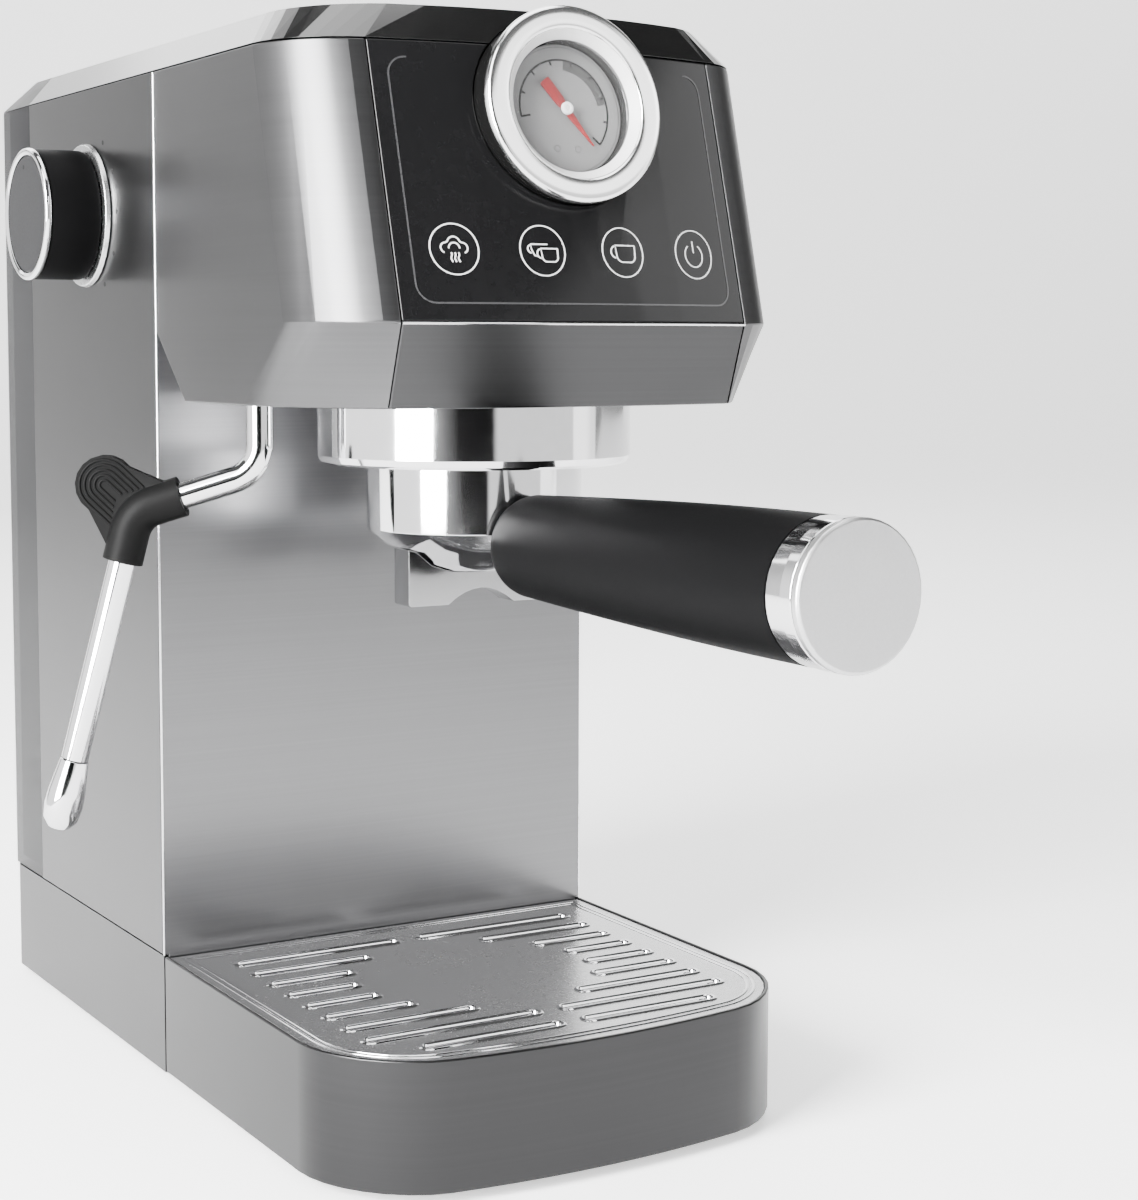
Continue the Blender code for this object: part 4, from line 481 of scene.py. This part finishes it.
# node: (slot, width of its rounded edges)
BEVELS = {
    "base_shell": ("brushed_steel", 0.7), "tray_skin": ("brushed_steel", 0.5), "column_front": ("brushed_steel", 0.3),
    "side_panel_left": ("brushed_steel", 0.35), "side_panel_right": ("brushed_steel", 0.35),
    "head_wrap": ("brushed_steel", 0.55), "lower_fascia": ("brushed_steel", 0.55),
    "control_glass": ("black_glass", 0.5), "top_cover": ("gloss_black", 0.8), "cup_plate": ("matte_black", 0.3),
    "drip_tray": ("matte_black", 0.5), "drip_grate": ("bright_steel", 0.25),
    "group_collar": ("chrome", 0.35), "portafilter_body": ("chrome", 0.4), "twin_spout": ("chrome", 0.8),
    "filter_basket": ("bright_steel", 0.2), "handle_ring": ("chrome", 0.4), "handle_cap": ("satin_metal", 0.3),
    "knob_plate": ("bright_steel", 0.3), "steam_nozzle": ("chrome", 0.3), "water_tank": ("smoke_plastic", 0.6),
    "tank_lid": ("smoke_plastic", 0.8), "power_inlet": ("black_rubber", 0.4), "rear_wall": ("matte_black", 0.3),
    "base_plate": ("matte_black", 0.5), "head_floor": ("matte_black", 0.2),
    "foot_1": ("black_rubber", 0.5), "foot_2": ("black_rubber", 0.5), "foot_3": ("black_rubber", 0.5),
    "foot_4": ("black_rubber", 0.5), "gauge_housing": ("gloss_black", 0.4),
}
# Painted light and shade: parts that take a darker or lighter copy of their finish for how light falls on them.
PAINTED_LIGHT_AND_SHADE_OF = {
    "tray_skin": "low_steel_painted_shade", "base_shell": "low_steel_painted_shade", "lower_fascia": "fascia_steel_painted_shade",
    "side_panel_left": "panel_steel_painted_shade", "side_panel_right": "panel_steel_painted_shade", "head_wrap": "hood_steel_painted_shade",
    # Painted shade on the spout; painted light on the floor under the head's rear, which takes the lighter aluminium
    # to lift the shade under the head.
    "twin_spout": "spout_chrome_painted_shade", "head_rear_floor": "aluminium",
}


def add_refined_parts():
    body_of = {n: b for b, names in frame["record"]["behaviour"]["bodies"].items() for n in names}
    for node, (slot, bevel) in BEVELS.items():
        refined(node, slot, body_of[node], bevel, material=PAINTED_LIGHT_AND_SHADE_OF.get(node))


# ------------------------------------------------------------ gauge

tilt = math.radians(GAUGE_TILT)
GAUGE_AXIS = Vector((0, -math.cos(tilt), math.sin(tilt)))
GAUGE_UP = GAUGE_AXIS.cross(Vector((1, 0, 0)))
GAUGE_CENTRE = at(0, GAUGE_FRONT, GAUGE_Z)


def on_dial(u, v, lift):
    flat = u * Vector((1, 0, 0)) + v * GAUGE_UP
    return GAUGE_CENTRE + (flat + (lift - DIAL_DEPTH + DIAL_LIFT) * GAUGE_AXIS) * MM


def on_needle(along, sideways, lift):
    turn = math.radians(NEEDLE_ANGLE)
    u = along * math.cos(turn) - sideways * math.sin(turn)
    v = along * math.sin(turn) + sideways * math.cos(turn)
    return on_dial(u, v, lift)


def add_gauge_case():
    ring = lathe(BEZEL_PROFILE, GAUGE_CENTRE, GAUGE_AXIS, 128)
    # The ring's brighter chrome is a painted highlight.
    add_piece("gauge_ring", ring, "chrome", "frame", material="gauge_chrome_painted_highlight", replaces=["gauge_bezel"], angle=40)
    slope = lathe(SLOPE_PROFILE, GAUGE_CENTRE, GAUGE_AXIS, 128)
    add_piece("gauge_slope", slope, "dial_grey", "frame", material="print_pale")
    face = lathe(FACE_PROFILE, GAUGE_CENTRE, GAUGE_AXIS)
    add_piece("gauge_face", face, "dial_grey", "frame", replaces=["gauge_dial"])


def add_gauge_marks():
    radius, width = SCALE_LINE
    marks = [strip(arc(0, 0, radius, SCALE_START, SCALE_START + SCALE_SWEEP, 96), width, on_dial, thick=0.05)]
    for k in range(TICK_COUNT):
        angle = SCALE_START + SCALE_SWEEP * k / (TICK_COUNT - 1)
        inner = TICK_INNER_LONG if k in (0, TICK_COUNT - 1) else TICK_INNER_SHORT
        ends = [arc(0, 0, r, angle, angle, 1)[0] for r in (inner, TICK_OUTER)]
        marks.append(strip(ends, TICK_WIDTH, on_dial, thick=0.06))
    add_piece("gauge_scale", joined(marks), "dial_grey", "frame", material="print_black")
    radius, width = BAND_LINE
    band = strip(arc(0, 0, radius, *BAND_ANGLES, 40), width, on_dial, thick=0.03)
    add_piece("gauge_band", band, "dial_grey", "frame", material="print_grey")
    radius, width = SMALL_RING_LINE
    rings = [strip(arc(x, SMALL_RING_DROP, radius, 0, 345, 23), width, on_dial, closed=True, thick=0.04)
             for x in SMALL_RING_PLACES]
    radius, width = DIAL_RIM_LINE
    rings.append(strip(arc(0, 0, radius, 0, 357.5, 143), width, on_dial, closed=True, thick=0.04))
    add_piece("gauge_small_marks", joined(rings), "dial_grey", "frame", material="print_grey")


def add_gauge_pointer():
    outline = NEEDLE_EDGE + [(a, -s) for a, s in reversed(NEEDLE_EDGE)]
    arm = closed_loft([[on_needle(a, s * width, lift) for a, s in outline] for lift, width in NEEDLE_LEVELS])
    add_piece("gauge_pointer_arm", arm, "needle_red", "needle", replaces=["gauge_needle"], angle=50)
    hub = [(r, h - DIAL_DEPTH) for r, h in HUB_PROFILE]
    add_piece("gauge_pointer_hub", lathe(hub, GAUGE_CENTRE, GAUGE_AXIS, 48), "white_plastic", "needle",
              replaces=["gauge_hub"])


# ------------------------------------------------------------ marks on the glass


def on_glass(x, z, lift):
    share = (z - CREASE_Z) / (BODY_TOP - CREASE_Z)
    front = CREASE_FRONT + share * (HEAD_TOP_FRONT - CREASE_FRONT)
    return at(x, front - HEAD_BOW * (1 - (x / GLASS_HALF) ** 2) - lift, z)


def steam_lines():
    cloud = (arc(-2.35, 0.35, 1.35, 250, 90, 12) + arc(0, 1.55, 1.75, 165, 15, 14)
             + arc(2.35, 0.35, 1.35, 90, -70, 12))
    arch = arc(0, 0.2, 1.5, 180, 0, 14)
    wisps = [[(x + 0.18 * math.sin(k * 1.3), -0.9 - 0.42 * k) for k in range(7)] for x in (-1.0, 0.0, 1.0)]
    return [cloud, arch] + wisps


def cup_lines():
    bowl = [(4.1, 1.9), (4.0, -0.4)] + arc(2.2, -0.9, 1.75, 5, -90, 8) + arc(-0.4, -0.9, 1.75, -90, -185, 8)
    return [bowl + [(-2.3, 1.9), (4.1, 1.9)], arc(-2.3, 0.1, 1.6, 100, 262, 12)]


def two_cup_lines():
    du, dv = FRONT_CUP_SHIFT
    front = [[(u * FRONT_CUP_SCALE + du, v * FRONT_CUP_SCALE + dv) for u, v in line] for line in cup_lines()]
    back = [(1.6, 1.7), (-3.4, 1.7), (-3.3, 0.2), (-2.6, -1.3), (-1.4, -1.6)]
    return front + [back, arc(-3.3, 0.4, 1.1, 100, 262, 10)]


def power_lines():
    return [arc(0, -0.3, 3.2, 125, 415, 36), [(0, 3.7), (0, 2.0), (0, 0.4)]]


def icon(cx, lines):
    radius, width = ICON_RING
    shapes = [strip(arc(cx, ICON_Z, radius, 0, 352.5, 47), width, on_glass, closed=True)]
    for points in lines:
        shapes.append(strip([(cx + u, ICON_Z + v) for u, v in points], ICON_LINE, on_glass))
    return joined(shapes)


def border_points():
    half, low, high, corner = BORDER_HALF, BORDER_LOW, BORDER_HIGH, BORDER_CORNER
    points = arc(half - corner, high - corner, corner, 0, 90, 8)
    points += arc(-half + corner, high - corner, corner, 90, 180, 8)
    points += arc(-half + corner, low + corner, corner, 180, 270, 8)
    points += [(-half + corner + k * 2 * (half - corner) / 12, low) for k in range(1, 12)]
    return points + arc(half - corner, low + corner, corner, 270, 360, 8)


def add_glass_marks():
    drawings = [steam_lines(), two_cup_lines(), cup_lines(), power_lines()]
    icons = [icon(cx, lines) for cx, lines in zip(ICON_PLACES, drawings)]
    add_piece("touch_symbols", joined(icons), "black_glass", "frame", material="print_pale", angle=60)
    border = strip(border_points(), BORDER_WIDTH, on_glass, closed=True, thick=0.05)
    add_piece("glass_border", border, "black_glass", "frame", material="frame_line", angle=60)


# ------------------------------------------------------------ painted highlights: chrome lines on the edges of the fascia and the column sheet


def add_painted_highlight_edges():
    # Painted highlight: a chrome line along the crease under the glass, where the fascia's top bevel catches light.
    crease = [on_glass(GLASS_HALF * (k - 12) / 12, CREASE_Z - FASCIA_LINE_DROP, 0.0) for k in range(25)]
    line = sweep(crease, FASCIA_LINE_RADIUS, Vector((0, 0, 1)), 10)
    add_piece("fascia_painted_highlight_line", line, "brushed_steel", "frame", material="chrome", angle=60)
    # Painted highlight: chrome lines down the column sheet's side edges, where the seams catch light.
    edges = []
    for side in (-1, 1):
        x = side * (HALF_WIDTH - COLUMN_LINE_INSET)
        foot = at(x, COLUMN_LINE_BACK, BASE_HEIGHT + COLUMN_LINE_END)
        top = at(x, COLUMN_LINE_BACK, BODY_TOP - COLUMN_LINE_END)
        edges.append(sweep([foot, (foot + top) / 2, top], COLUMN_LINE_RADIUS, Vector((1, 0, 0)), 12))
    add_piece("column_painted_highlight_lines", joined(edges), "brushed_steel", "frame", material="chrome", angle=60)


# ------------------------------------------------------------ grate rims


def tray_outline(inset, back, arcs=14, across=14):
    half = HALF_WIDTH - inset
    corner = TRAY_CORNER - inset
    front = -TRAY_LENGTH + inset
    left = [(-half, back)]
    for k in range(arcs + 1):
        a = math.radians(90) * k / arcs
        left.append((-half + corner * (1 - math.cos(a)), front + corner * (1 - math.sin(a))))
    flat = half - corner
    middle = [(-flat + 2 * flat * k / (across + 1), front) for k in range(1, across + 1)]
    points = left + middle + [(-x, y) for x, y in reversed(left)]
    bowed = []
    for x, y in points:
        share = min(1.0, max(0.0, -y / TRAY_LENGTH)) ** 4
        bowed.append((x, y - TRAY_BOW * (1 - (x / HALF_WIDTH) ** 2) * share))
    return bowed


def stadium(x_low, x_high, y, radius, steps=10):
    points = []
    for centre, start in ((x_high - SLOT_RADIUS, -90), (x_low + SLOT_RADIUS, 90)):
        points += arc(centre, y, radius, start, start + 180, steps)
    return points


def add_grate_rims():
    rims = []
    for row in range(SLOT_ROWS):
        y = SLOT_FIRST_Y - row * SLOT_PITCH
        reach = LAST_SLOT_REACH if row == SLOT_ROWS - 1 else SLOT_REACH
        inner = max(SLOT_INNER, math.sqrt(max(CUP_DISC_RADIUS ** 2 - (y - GROUP_Y) ** 2, 0)))
        for x_low, x_high in ((-reach, -inner), (inner, reach)):
            loops = [[at(px, py, GRATE_TOP + lift) for px, py in stadium(x_low, x_high, y, radius)]
                     for radius, lift in RIM_SECTION]
            rims.append(ring_loft(loops))
    add_piece("grate_slot_rims", joined(rims), "bright_steel", "grate", material="chrome", angle=60)


def add_grate_beads():
    beads = []
    for inset, back in BEAD_PLACES:
        loops = [[at(px, py, GRATE_TOP + lift) for px, py in tray_outline(inset + shift, back - shift)]
                 for shift, lift in BEAD_SECTION]
        beads.append(ring_loft(loops))
    add_piece("grate_edge_beads", joined(beads), "bright_steel", "grate", material="chrome", angle=60)


# ------------------------------------------------------------ wand

heading = math.radians(WAND_HEADING)
ACROSS = Vector((math.sin(heading), math.cos(heading), 0))


def on_wand(reach, z):
    return at(WAND_X - reach * math.cos(heading), WAND_Y + reach * math.sin(heading), z)


def grip_ridges(elbow, knee, tip):
    """Raised arches on both faces of the rubber grip's thumb tab, which points away from the knee."""
    outward = -((elbow - knee).normalized() + (tip - knee).normalized()).normalized()
    sideways = ACROSS.cross(outward)
    ridges = []
    for side in (-1, 1):
        for k in range(RIDGE_COUNT):
            radius = RIDGE_RADIUS - RIDGE_PITCH * k
            start = RIDGE_START + RIDGE_START_STEP * k
            points = [(start, -radius)] + arc(RIDGE_CENTRE, 0, radius, -90, 90, 16) + [(start, radius)]
            line = [knee + (u * outward + v * sideways + side * RIDGE_FACE * ACROSS) * MM for u, v in points]
            ridges.append(sweep(line, RIDGE_THICKNESS, ACROSS, 10))
    return joined(ridges)


def add_wand():
    elbow, knee, tip = on_wand(*WAND_ELBOW), on_wand(*WAND_KNEE), on_wand(*WAND_TIP)
    path = rounded_path([on_wand(*WAND_TOP), elbow, knee, tip], WAND_BEND * MM)
    add_piece("wand_pipe", sweep(path, WAND_RADIUS, ACROSS, 32), "chrome", "wand", replaces=["wand_tube"], angle=50)
    refined("wand_grip", "black_rubber", "wand", 0.9, angle=35.0, segments=4)
    add_piece("wand_grip_ridges", grip_ridges(elbow, knee, tip), "black_rubber", "wand", angle=60)


# ------------------------------------------------------------ knob

KNOB_ORIGIN = at(-HALF_WIDTH, KNOB_Y, KNOB_Z)
OUT = Vector((-1, 0, 0))


def knob_disc(angle, reach, heights):
    a = math.radians(angle)
    centre = KNOB_ORIGIN + Vector((0, -math.sin(a), math.cos(a))) * reach * MM
    low, high = heights
    return lathe([(0, low), (DOT_RADIUS, low), (DOT_RADIUS * 0.9, high), (0, high)], centre, OUT, 24)


def add_knob():
    add_piece("knob_grip", lathe(KNOB_PROFILE, KNOB_ORIGIN, OUT), "matte_black", "knob", replaces=["knob_body"])
    add_piece("knob_trim", lathe(KNOB_RING_PROFILE, KNOB_ORIGIN, OUT, 128), "chrome", "knob",
              replaces=["knob_ring"], angle=50)
    add_piece("knob_front", lathe(KNOB_CAP_PROFILE, KNOB_ORIGIN, OUT), "knob_grey", "knob", replaces=["knob_face"])
    mark = knob_disc(MARK_ANGLE, MARK_REACH, MARK_HEIGHTS)
    add_piece("knob_mark", mark, "knob_grey", "knob", material="print_black")
    dots = [knob_disc(angle, DOT_REACH, DOT_HEIGHTS) for angle in DOT_ANGLES]
    add_piece("panel_dots", joined(dots), "brushed_steel", "frame", material="print_black")


# ------------------------------------------------------------ handle


def add_handle():
    grip = [(radius, HANDLE_START + reach) for radius, reach in HANDLE_SHOULDER]
    for k in range(HANDLE_STEPS):
        share = k / HANDLE_STEPS
        radius = HANDLE_NEAR_RADIUS + HANDLE_SWELL * math.sin(share * math.pi / 2)
        grip.append((radius, HANDLE_START + 5 + share * HANDLE_RUN))
    grip += HANDLE_END
    add_piece("handle_sleeve", lathe(grip, at(0, GROUP_Y, HANDLE_Z), (0, -1, 0)), "matte_black", "portafilter",
              replaces=["handle_grip"], angle=45)


# ------------------------------------------------------------ CAD nodes that keep their mesh


def dress_carried_nodes():
    for node in frame["nodes"].values():
        if not node.hide_render:
            slots = node.data.materials
            material = PAINTED_LIGHT_AND_SHADE_OF.get(node.name, slots[0].name.split(".")[0])
            for i in range(len(slots)):
                slots[i] = MATERIALS[material]


# ------------------------------------------------------------ floor, light, camera

FLOOR_FRONT = -1.3
FLOOR_BACK = 2.4
FLOOR_SIDES = (-1.1, 6.0)
BACKDROP_BEND = 1.2
BACKDROP_TOP = 4.5
PAPER_GLOW = 0.9

# Grey of the studio's walls by direction: 0 is -Y, 90 is +X.
WALL_BANDS = [(-180, 0.40), (-150, 0.34), (-140, 1.0), (-74, 1.0), (-70, 0.22), (-54, 0.14), (-40, 0.003),
              (-15, 0.003), (-12, 0.60), (60, 0.60), (66, 0.14), (106, 0.10), (150, 0.30), (180, 0.40)]
WALL_STRENGTH = 2.3
BOX_GREY = 1.6
CEILING_GREY = 0.05

LAMPS = (
    # name, place, aim, size, power
    ("key", (-1.3, -0.5, 1.7), (0, 0, 0.15), (0.9, 1.2), 34),
    ("strip", (-1.48, -0.50, 0.62), (0, -0.05, 0.2), (0.85, 1.2), 270),
    ("top", (0.2, 0.0, 1.9), (0, 0, 0.15), (1.6, 1.2), 34),
    ("back", (0.1, 1.9, 1.45), (0, 0, 0.3), (2.4, 0.8), 22),
    ("fill", (1.6, -1.0, 0.7), (0, 0, 0.15), (0.8, 1.4), 6),
)

CAMERA_PLACE = (-0.302593, -0.59931, 0.22913)
CAMERA_LENS = 67.78
CAMERA_SENSOR = 36
CAMERA_SHIFT = (0.0438, -0.0483)
CAMERA_HEADING = -30.197
CAMERA_DIP = 5.145
CAMERA_ROLL = 0.07
CAMERA_NEAR = 0.01


def make_backdrop():
    profile = [(FLOOR_FRONT, 0.0), (FLOOR_BACK, 0.0)]
    for degrees in range(10, 91, 10):
        a = math.radians(degrees)
        profile.append((FLOOR_BACK + BACKDROP_BEND * math.sin(a), BACKDROP_BEND - BACKDROP_BEND * math.cos(a)))
    profile.append((FLOOR_BACK + BACKDROP_BEND, BACKDROP_TOP))
    verts = [(x, y, z) for x in FLOOR_SIDES for y, z in profile]
    count = len(profile)
    faces = [(i, i + 1, i + 1 + count, i + count) for i in range(count - 1)]
    mesh = bpy.data.meshes.new("backdrop")
    mesh.from_pydata(verts, [], faces)
    mesh.shade_smooth()
    obj = bpy.data.objects.new("backdrop", mesh)
    bpy.context.scene.collection.objects.link(obj)
    paper = finish_of("paper", even(0.92), 0.9, grain=even(60), tone=0.01, wear=0.008)
    shader = next(n for n in paper.node_tree.nodes if n.type == "BSDF_PRINCIPLED")
    shader.inputs["Emission Color"].default_value = (1, 1, 1, 1)
    shader.inputs["Emission Strength"].default_value = PAPER_GLOW
    mesh.materials.append(paper)


def wall_ramp(make, share):
    ramp = make.add("ShaderNodeValToRGB", {0: share})
    steps = ramp.color_ramp.elements
    steps[0].position = 0.0
    steps[0].color = (*even(WALL_BANDS[0][1]), 1)
    steps[1].position = 1.0
    steps[1].color = (*even(WALL_BANDS[-1][1]), 1)
    for angle, grey in WALL_BANDS[1:-1]:
        step = steps.new(angle / 360 + 0.5)
        step.color = (*even(grey), 1)
    return ramp.outputs[0]


def make_world():
    """Walls in grey bands, a soft box at the front right, and a dark ceiling."""
    world = bpy.data.worlds.new("studio")
    bpy.context.scene.world = world
    world.use_nodes = True
    make = Nodes(world.node_tree)
    way = make.add("ShaderNodeTexCoord").outputs["Generated"]
    parts = make.add("ShaderNodeSeparateXYZ", {0: way})
    rise = parts.outputs[2]
    turn = make.math("ARCTAN2", parts.outputs[0], make.math("MULTIPLY", parts.outputs[1], -1.0))
    share = make.math("ADD", make.math("DIVIDE", turn, 2 * math.pi), 0.5)
    walls = wall_ramp(make, share)
    above = make.spread(rise, 0.0, 1.0, 0.24, 0.28)
    right_of = make.spread(share, 0.0, 1.0, 0.47, 0.48)
    left_of = make.spread(share, 0.0, 1.0, 0.72, 0.70)
    inside = make.math("MULTIPLY", make.math("MULTIPLY", above, right_of), left_of)
    boxed = make.add("ShaderNodeMix", {0: inside, 6: walls, 7: (*even(BOX_GREY), 1)}, data_type="RGBA")
    overhead = make.spread(rise, 0.0, 1.0, 0.455, 0.475)
    sky = make.add("ShaderNodeMix", {0: overhead, 6: boxed.outputs[2], 7: (*even(CEILING_GREY), 1)},
                   data_type="RGBA")
    glow = make.add("ShaderNodeBackground", {"Color": sky.outputs[2], "Strength": WALL_STRENGTH})
    make.add("ShaderNodeOutputWorld", {"Surface": glow.outputs[0]})


def add_lamp(name, place, target, size, energy):
    data = bpy.data.lights.new(name, "AREA")
    data.shape = "RECTANGLE"
    data.size, data.size_y = size
    data.energy = energy
    lamp = bpy.data.objects.new(name, data)
    bpy.context.scene.collection.objects.link(lamp)
    lamp.location = place
    lamp.rotation_euler = (Vector(target) - Vector(place)).to_track_quat("-Z", "Y").to_euler()


def add_camera():
    data = bpy.data.cameras.new("camera")
    data.sensor_width = CAMERA_SENSOR
    data.lens = CAMERA_LENS
    data.shift_x, data.shift_y = CAMERA_SHIFT
    data.clip_start = CAMERA_NEAR
    camera = bpy.data.objects.new("camera", data)
    bpy.context.scene.collection.objects.link(camera)
    turn = Matrix.Rotation(math.radians(CAMERA_HEADING), 4, "Z")
    turn = turn @ Matrix.Rotation(math.radians(90 - CAMERA_DIP), 4, "X")
    turn = turn @ Matrix.Rotation(math.radians(CAMERA_ROLL), 4, "Z")
    camera.matrix_world = Matrix.Translation(CAMERA_PLACE) @ turn
    bpy.context.scene.camera = camera


add_refined_parts()
add_gauge_case()
add_gauge_marks()
add_gauge_pointer()
add_glass_marks()
add_painted_highlight_edges()
add_grate_rims()
add_grate_beads()
add_wand()
add_knob()
add_handle()
dress_carried_nodes()

make_backdrop()
make_world()
for lamp in LAMPS:
    add_lamp(*lamp)
add_camera()
